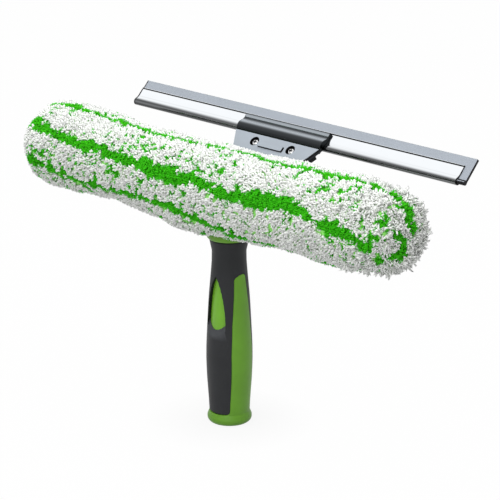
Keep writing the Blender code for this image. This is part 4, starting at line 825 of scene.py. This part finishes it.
# %% Green flecks between the stripes
FLECK_LIMIT = (  # degrees up from the front, least noise for a fleck
    (-180, 0.56), (-60, 0.48), (10, 0.54), (35, 0.55), (80, 0.52), (100, 0.56), (180, 0.60),
)
MORE_FLECKS = ((0.13, 0.01, 0.08, 52.0), (0.19, -0.115, 0.05, 5.0))  # drop, middle, reach, degrees up
FLECK_TURN = 24.0  # degrees that such a place reaches up and down
FLECK_EDGE = 0.12
flecks = cloth_noise(380, 51) + 0.5 * cloth_noise(75, 52)
rarer = np.interp(turn, *zip(*FLECK_LIMIT))
for more, middle, reach, up in MORE_FLECKS:
    rarer -= more * np.exp(-(((along - middle) / reach) ** 2)) * np.exp(-(((turn - up) / FLECK_TURN) ** 2))
fleck = np.clip((flecks - rarer) / FLECK_EDGE, 0.0, 1.0)
green_share = np.maximum(stripe, fleck)
print("fleck share:", round(float(fleck[outside].mean()), 3))

# %% [markdown]
# ## Room for the stem, and the thinner places
#
# No pile grows where the head's stem comes through the slot. At the worn right end the
# strands hang long and loose, and the lower front is thinner. One mask for each kind
# of tuft says where it may stand, so one skin serves them all.

# %% Masks for the three kinds of tuft
THINNER_BELOW = 0.3  # share of the white tufts that is missing on the lower front
THINNER_END = 0.2  # and at the worn right end
LOW_FRONT = ((-85, 0.0), (-45, 1.0), (-10, 1.0), (30, 0.0))  # degrees up from the front, share
STEM_REACH = 24.0 * MM
STEM_ROOM = 4.0 * MM
WORN_FROM = 45.0 * MM  # the worn end begins this far from the sleeve's right end
WORN_FADE = 25.0 * MM
clear_of_head = np.ones(len(points))
head_points = np.array([tuple(v.co) for v in node_points("head_frame")])
near_stem = (np.abs(along) < STEM_REACH) & outside
for index in np.nonzero(near_stem)[0]:
    gap = np.min(np.linalg.norm(head_points - points[index], axis=1))
    clear_of_head[index] = float(gap > STEM_ROOM)
worn_end = np.clip((along - SLEEVE_HALF + WORN_FROM) / WORN_FADE, 0.0, 1.0)
low_front = np.interp(turn, *zip(*LOW_FRONT))
thinner = 1.0 - np.maximum(THINNER_END * worn_end, THINNER_BELOW * low_front)
store(skin.data, "white_share", outside * clear_of_head * (1.0 - green_share) * thinner)
store(skin.data, "green_share", outside * clear_of_head * green_share)
store(skin.data, "loose_share", outside * worn_end * (1.0 - green_share))
store(skin.data, "green", green_share)
print("masks stored")

# %% Slimmer cloth under the loose strands
SLIMMER = 5.0 * MM
LONGER = 4.0 * MM
LONGER_LEFT = 2.5 * MM
LEFT_END = 20.0 * MM
outward = vertex_values(skin.data, "normal")
slim = outside * worn_end * np.clip(1.0 - outward[:, 0] ** 2, 0.0, 1.0) ** 2 * SLIMMER
slimmed = points - outward * slim[:, None]
slimmed[:, 0] += LONGER * worn_end * outside * np.clip(outward[:, 0], 0.0, 1.0)
at_left = outside * (along < LEFT_END - SLEEVE_HALF)
slimmed[:, 0] -= LONGER_LEFT * at_left * np.clip(-outward[:, 0], 0.0, 1.0)
move_points(skin.data, slimmed)
print("right end slimmer by up to", round(float(slim.max() * 1000), 1), "mm")

# %% [markdown]
# ## Finishes of the pile
#
# Each point of a strand knows how far it is from the root, and each tuft has its own
# shade. White strands are darker near the root, where little light gets in. Microfibre
# has a soft sheen, and its shading leans towards the cloth's, which keeps it soft.


# %% Pile materials
SOFTNESS = 0.7  # share of the cloth's own direction in a strand's shading
FIBRES_PER_METRE = 1500.0
FIBRE_DEPTH = 0.2 * MM


def pile_finish(name, root, low, tip, sheen=0.0, glow=0.0, value="reach"):
    """A fibre finish that turns from the root's colour to the tip's along a stored value."""
    made, tree, shader = new_material(name)
    body = ramp(tree, stored_value(tree, value), (0.0, root), (0.4, low), (0.8, tip))
    dim = ramp(tree, stored_value(tree, "shade"), (0.0, 0.88), (1.0, 1.0))
    fine = noise(tree, object_place(tree), FIBRES_PER_METRE)[0]
    thread = ramp(tree, fine, (0.3, 0.95), (0.7, 1.0))
    own = put(tree, "ShaderNodeNewGeometry").outputs["Normal"]
    both = {0: stored_value(tree, "lay", "Vector"), 1: (SOFTNESS,) * 3, 2: own}
    even = vector_maths(tree, "NORMALIZE", {0: vector_maths(tree, "MULTIPLY_ADD", both)})
    feed(tree, shader, {
        "Base Color": multiply(tree, multiply(tree, body, dim), thread),
        "Roughness": from_range(tree, fine, (0.0, 1.0), (0.75, 0.95)),
        "Normal": relief(tree, 0.2, FIBRE_DEPTH, fine, even),
        "Sheen Weight": sheen,
        "Subsurface Weight": glow,
        "Subsurface Radius": (1.0, 1.0, 1.0),
        "Subsurface Scale": 2.0 * MM,
        "Specular IOR Level": 0.1,
    })
    return made


WHITE_YARN = ((0.46, 0.90, 0.30, 1.0), (0.90, 0.98, 0.86, 1.0), (0.94, 0.965, 0.925, 1.0))
GREEN_YARN = ((0.018, 0.30, 0.003, 1.0), (0.035, 0.46, 0.005, 1.0), (0.060, 0.62, 0.012, 1.0))
CLOTH_GREEN = (0.34, 0.86, 0.20, 1.0)
CLOTH_SHADE = 0.6
white_pile = pile_finish("white_pile", *WHITE_YARN, sheen=0.3, glow=0.8)
green_pile = pile_finish("green_pile", *GREEN_YARN)
base_cloth = pile_finish("base_cloth", CLOTH_GREEN, GREEN_YARN[1], GREEN_YARN[1], value="green")
skin.data.materials.append(base_cloth)
store(skin.data, "shade", np.full(len(points), CLOTH_SHADE))
print("pile finishes ready")

# %% [markdown]
# ## Tufts
#
# A tuft is a few tapered strands that spring from one stitch and spread. A handful of
# different tufts is enough, because Geometry Nodes turn them at random and vary their
# length, so that no two neighbours look alike.


# %% One tuft of short blunt strands
LEVELS = ((0.0, 1.0), (0.45, 1.05), (0.85, 0.85), (1.0, 0.0))  # share of the length, share of the thickness
SIDES = 3  # a strand is a three-sided taper
RINGS = len(LEVELS) - 1  # the last level is its tip


def tuft(name, seed, strands, length, thickness, spread, curl, fan=1.0):
    """A mesh of curved strands that rise from the origin and lean to a share of all sides."""
    rng = np.random.default_rng(seed)
    verts, faces, reach = [], [], []
    for strand in range(strands):
        heading = 2 * math.pi * fan * (strand + rng.uniform(-0.3, 0.3)) / strands
        lean = spread * rng.uniform(0.1, 1.0)
        tall = length * rng.uniform(0.75, 1.05)
        bend = curl * rng.uniform(-1.0, 1.0)
        root = Vector((math.cos(heading), math.sin(heading), 0.0)) * thickness * 0.9
        first = len(verts)
        for share, wide in LEVELS:
            angle = lean * (0.2 + 1.1 * share**2)
            side = heading + bend * share
            out = math.sin(angle) * tall * share
            rise = math.cos(angle) * tall * share
            centre = root + Vector((math.cos(side) * out, math.sin(side) * out, rise))
            for corner in range(SIDES if wide else 1):
                turned = 2 * math.pi * corner / SIDES + heading
                verts.append(centre + Vector((math.cos(turned), math.sin(turned), 0.0)) * wide * thickness)
                reach.append(share)
        for ring in range(RINGS):
            for corner in range(SIDES):
                a = first + ring * SIDES + corner
                b = first + ring * SIDES + (corner + 1) % SIDES
                above = (b + SIDES, a + SIDES) if ring < RINGS - 1 else (first + RINGS * SIDES,)
                faces.append((a, b, *above))
        faces.append((first + 2, first + 1, first))
    mesh = bpy.data.meshes.new(name)
    mesh.from_pydata([tuple(v) for v in verts], [], faces)
    mesh.polygons.foreach_set("use_smooth", [True] * len(mesh.polygons))
    store(mesh, "reach", reach)
    return bpy.data.objects.new(name, mesh)


# %% Families of tufts
def tuft_family(name, count, seed, *shape):
    """A hidden collection of tufts of one kind."""
    family = bpy.data.collections.new(name)
    for number in range(count):
        family.objects.link(tuft(f"{name}_{number}", seed + number, *shape))
    print(name, count)
    return family


TUFTS = (  # name, how many, seed, strands, length, thickness, spread, curl, share of all sides
    ("white_tufts", 8, 100, 4, 3.5 * MM, 1.0 * MM, math.radians(38), 1.2),
    ("green_tufts", 4, 200, 5, 3.3 * MM, 0.42 * MM, math.radians(35), 0.5),
    ("loose_tufts", 6, 300, 5, 8.0 * MM, 1.05 * MM, math.radians(55), 1.8, 0.45),
)
white_tufts, green_tufts, loose_tufts = (tuft_family(*row) for row in TUFTS)

# %% [markdown]
# ## The tree that plants the tufts
#
# Points are scattered over the skin by a mask, at a least distance. Each tuft stands
# along the skin's normal, tilts a little by chance, and leans as its neighbours do by
# a slow noise, because wet pile dries in locks.

# %% Points on the skin, and the tilt of each
LOCKS_PER_METRE = 170.0  # tufts of a lock lean the same way
DENSEST = 900000.0  # per square metre, more than the spacing lets stand
FULL_TURN = 6.283
SHADE_SEED = 7


def skin_points(tree, given):
    """Output sockets of the points, their normals and their turns, between From and To."""
    mask = put(tree, "GeometryNodeInputNamedAttribute", {"Name": given["Mask"]}, data_type="FLOAT")
    how = {"Mesh": given["Skin"], "Distance Min": given["Spacing"], "Density Max": DENSEST}
    how |= {"Density Factor": mask.outputs[0], "Seed": given["Seed"]}
    scatter = put(tree, "GeometryNodeDistributePointsOnFaces", how, distribute_method="POISSON").outputs
    here = put(tree, "GeometryNodeInputPosition").outputs[0]
    x = put(tree, "ShaderNodeSeparateXYZ", {0: here}).outputs[0]
    before = maths(tree, "LESS_THAN", x, given["From"])
    after = maths(tree, "GREATER_THAN", x, given["To"])
    outer = {"Geometry": scatter["Points"], "Selection": maths(tree, "MAXIMUM", before, after)}
    kept = put(tree, "GeometryNodeDeleteGeometry", outer, domain="POINT").outputs[0]
    return kept, scatter["Normal"], scatter["Rotation"]


def tilted(tree, given, rotation):
    """Output socket of the turns, tilted by chance and by the lean of each lock."""
    back = maths(tree, "MULTIPLY", given["Lean"], -1.0)
    least = put(tree, "ShaderNodeCombineXYZ", {0: back, 1: back, 2: 0.0}).outputs[0]
    most = put(tree, "ShaderNodeCombineXYZ", {0: given["Lean"], 1: given["Lean"], 2: FULL_TURN}).outputs[0]
    limits = {0: least, 1: most, "Seed": given["Seed"]}
    tilt = put(tree, "FunctionNodeRandomValue", limits, data_type="FLOAT_VECTOR").outputs[0]
    here = put(tree, "GeometryNodeInputPosition").outputs[0]
    locks = noise(tree, here, LOCKS_PER_METRE, 1.0)["Color"]
    centred = vector_maths(tree, "SUBTRACT", {0: locks, 1: (0.5, 0.5, 0.5)})
    pulled = vector_maths(tree, "SCALE", {0: centred, "Scale": given["Lock"]})
    leaning = vector_maths(tree, "ADD", {0: tilt, 1: pulled})
    euler = put(tree, "FunctionNodeEulerToRotation", {0: leaning}).outputs[0]
    both = {"Rotation": rotation, "Rotate By": euler}
    return put(tree, "FunctionNodeRotateRotation", both, rotation_space="LOCAL").outputs[0]


# %% Geometry Nodes tree that plants tufts
def tufts_on_points(tree, given):
    """Output socket of the tufts, each with its own shade, on the points of the skin."""
    points, normal, rotation = skin_points(tree, given)
    lay = {"Geometry": points, "Name": "lay", "Value": normal}
    lying = put(tree, "GeometryNodeStoreNamedAttribute", lay, data_type="FLOAT_VECTOR", domain="POINT")
    lengths = {2: given["Shortest"], 3: given["Longest"], "Seed": given["Seed"]}
    size = put(tree, "FunctionNodeRandomValue", lengths, data_type="FLOAT").outputs[1]
    choice = {"Collection": given["Tufts"], "Separate Children": True, "Reset Children": True}
    source = put(tree, "GeometryNodeCollectionInfo", choice).outputs[0]
    planted = put(tree, "GeometryNodeInstanceOnPoints", {
        "Points": lying.outputs[0], "Instance": source, "Pick Instance": True,
        "Rotation": tilted(tree, given, rotation), "Scale": size,
    })
    tone = put(tree, "FunctionNodeRandomValue", {"Seed": SHADE_SEED}, data_type="FLOAT").outputs[1]
    shade = {"Geometry": planted.outputs[0], "Name": "shade", "Value": tone}
    shaded = put(tree, "GeometryNodeStoreNamedAttribute", shade, data_type="FLOAT", domain="INSTANCE")
    return shaded.outputs[0]


def planting_tree():
    """A tree that scatters tufts over the skin by a mask, within a stretch of its length."""
    tree = bpy.data.node_groups.new("plant_tufts", "GeometryNodeTree")
    kinds = {"Skin": "Geometry", "Tufts": "Collection", "Mask": "String"}
    kinds |= dict.fromkeys(("Spacing", "From", "To", "Shortest", "Longest", "Lean", "Lock"), "Float")
    kinds |= {"Seed": "Int", "Finish": "Material"}
    for label, kind in kinds.items():
        tree.interface.new_socket(label, in_out="INPUT", socket_type="NodeSocket" + kind)
    tree.interface.new_socket("Pile", in_out="OUTPUT", socket_type="NodeSocketGeometry")
    given = put(tree, "NodeGroupInput").outputs
    solid = put(tree, "GeometryNodeRealizeInstances", {"Geometry": tufts_on_points(tree, given)})
    dyed = put(tree, "GeometryNodeSetMaterial", {"Geometry": solid.outputs[0], "Material": given["Finish"]})
    put(tree, "NodeGroupOutput", {"Pile": dyed.outputs[0]})
    return tree


plant_tufts = planting_tree()
print("tree", plant_tufts.name, len(plant_tufts.nodes), "nodes")


# %% Plant the pile
PAST_END = 5.0 * MM  # beyond the cloth's ends


def planted_stretches(name, count, **values):
    """Plain meshes of tufts along the sleeve, in equal stretches; values are the tree's inputs."""
    reach = SLEEVE_HALF + PAST_END
    sockets = {s.name: s.identifier for s in plant_tufts.interface.items_tree if s.in_out == "INPUT"}
    for number in range(count):
        values["From"], values["To"] = (-reach + 2 * reach * (number + i) / count for i in (0, 1))
        piece = new_object(f"{name}_{number + 1}", skin.data.copy())
        pile = piece.modifiers.new("pile", "NODES")
        pile.node_group = plant_tufts
        for label, value in values.items():
            pile[sockets[label]] = value
        carry(made_plain(piece), "washer_body", "microfibre_pile")


planted_stretches(
    "white_pile", 8, Tufts=white_tufts, Mask="white_share", Finish=white_pile,
    Spacing=1.95 * MM, Shortest=0.8, Longest=1.1, Lean=0.25, Lock=3.4, Seed=5,
)
planted_stretches(
    "green_pile", 4, Tufts=green_tufts, Mask="green_share", Finish=green_pile,
    Spacing=1.6 * MM, Shortest=0.75, Longest=1.1, Lean=0.3, Lock=0.8, Seed=9,
)
planted_stretches(
    "loose_pile", 1, Tufts=loose_tufts, Mask="loose_share", Finish=white_pile,
    Spacing=3.1 * MM, Shortest=0.55, Longest=1.0, Lean=0.3, Lock=3.0, Seed=13,
)
carry(skin, "washer_body", "microfibre_pile", "washer_sleeve")

# %% [markdown]
# ## Closure tapes
#
# The sleeve closes over the T-bar with hook and loop tape. Both tapes are woven, so
# their finish is a fine crossing of threads, with painted shade between them.


# %% Woven tape
THREADS = 420.0  # scale of the two waves that cross
THREAD_DEPTH = 0.3 * MM
TAPE_WHITE = (0.78, 0.78, 0.76)
GAP_PAINTED_SHADE = 0.75  # painted shade: share of the colour between the threads


def woven_tape(name, colour):
    """White tape with a fine plain weave and painted shade between the threads."""
    made, tree, shader = new_material(name)
    wave = {"Vector": object_place(tree), "Scale": THREADS}
    warp = put(tree, "ShaderNodeTexWave", wave, bands_direction="X").outputs[0]
    weft = put(tree, "ShaderNodeTexWave", wave, bands_direction="Y").outputs[0]
    weave = blend_colours(tree, 0.5, warp, weft)
    # painted shade between the threads
    tint = blend_colours(tree, weave, (*(GAP_PAINTED_SHADE * c for c in colour), 1.0), (*colour, 1.0))
    woven = relief(tree, 0.5, THREAD_DEPTH, weave)
    feed(tree, shader, {"Base Color": tint, "Normal": woven, "Roughness": 0.9})
    return made


for node in ("closure_hook_tape", "closure_loop_tape"):
    tape = rounded(node, "woven_" + node, 0.0, woven_tape("weave_" + node, TAPE_WHITE))
    carry(tape, "washer_body", "closure_tape", node)

# %% [markdown]
# ## The studio
#
# The ground is a white sweep that fades into a white background, with a soft shadow
# under the foot. The paper is grey, but what is seen of it glows, and a little less
# round the foot, which paints a soft shadow there and lets the cast shadow show.


# %% Floor
def seen_share(tree):
    """Output socket that is 1 for what is seen straight, in metal or through glass."""
    rays = put(tree, "ShaderNodeLightPath").outputs
    direct = maths(tree, "MAXIMUM", rays["Is Camera Ray"], rays["Is Glossy Ray"])
    return maths(tree, "MAXIMUM", direct, rays["Is Transmission Ray"])


PAINTED_SHADOW_REACH = (0.02, 0.07)  # metres from the foot, between which the glow grows out of the painted shadow
# glow round the foot, where it paints a soft shadow, and far from it
GLOW = (0.90, 0.985)
PAPER_PER_METRE = 300.0
floor_mesh = bpy.data.meshes.new("floor")
floor_mesh.from_pydata([(-6, -6, 0), (6, -6, 0), (6, 6, 0), (-6, 6, 0)], [], [(0, 1, 2, 3)])
floor = new_object("floor", floor_mesh)
paper, tree, shader = new_material("white_paper")
seen = seen_share(tree)
fibres = noise(tree, object_place(tree), PAPER_PER_METRE)[0]
feed(tree, shader, {"Base Color": ramp(tree, fibres, (0.3, 0.54), (0.7, 0.56)), "Roughness": 0.9})
lit = put(tree, "ShaderNodeEmission", {"Color": grey(1.0), "Strength": 1.0})
foot_low, foot_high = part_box("handle_core")
foot = ((foot_low.x + foot_high.x) / 2, (foot_low.y + foot_high.y) / 2, 0.0)
from_foot = vector_maths(tree, "DISTANCE", {0: object_place(tree), 1: foot}, "Value")
# less glow round the foot paints a soft shadow there and lets the cast shadow show
share = maths(tree, "MULTIPLY", seen, from_range(tree, from_foot, PAINTED_SHADOW_REACH, GLOW))
mixed = put(tree, "ShaderNodeMixShader", {0: share, 1: shader.outputs[0], 2: lit.outputs[0]})
feed(tree, tree.nodes["Material Output"], {"Surface": mixed.outputs[0]})
floor_mesh.materials.append(paper)
floor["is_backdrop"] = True
print("floor ready")

# %% Background
WORLD_LIGHT = 0.38
world = bpy.data.worlds.new("studio")
scene.world = world
world.use_nodes = True
tree = world.node_tree
strength = from_range(tree, seen_share(tree), (0.0, 1.0), (WORLD_LIGHT, 1.0))
feed(tree, tree.nodes["Background"], {"Color": grey(1.0), "Strength": strength})
scene.view_settings.view_transform = "Standard"
print("background ready")

# %% [markdown]
# ## The lamps
#
# A large soft light hangs above, a smaller one stands in front on the right, and a weak
# one low on the left. The first and the last are hidden from glossy surfaces, where
# they would lay bright patches across the dark clamp.


# %% Lamps
def soft_lamp(name, location, target, size, power, glossy=True):
    """A square soft light that points at the target; glossy rays may miss it."""
    light = bpy.data.lights.new(name, "AREA")
    light.size, light.energy = size, power
    lamp = new_object(name, light)
    lamp.location = location
    lamp.rotation_euler = (Vector(target) - Vector(location)).to_track_quat("-Z", "Y").to_euler()
    lamp.visible_glossy = glossy


soft_lamp("key", (0.1, -0.4, 1.8), (0.0, 0.05, 0.22), size=2.4, power=45.0, glossy=False)
soft_lamp("fill", (0.9, -1.4, 0.9), (0.0, 0.0, 0.15), size=0.9, power=8.0)
soft_lamp("side", (-0.9, -0.9, 0.12), (0.0, 0.0, 0.09), size=0.3, power=0.7, glossy=False)
print("lamps ready")

# %% Measure and finish
dressed_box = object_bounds()
for label, box in (("CAD", cad_box), ("visual", dressed_box)):
    print(label, "box", [[round(c, 4) for c in v] for v in box])
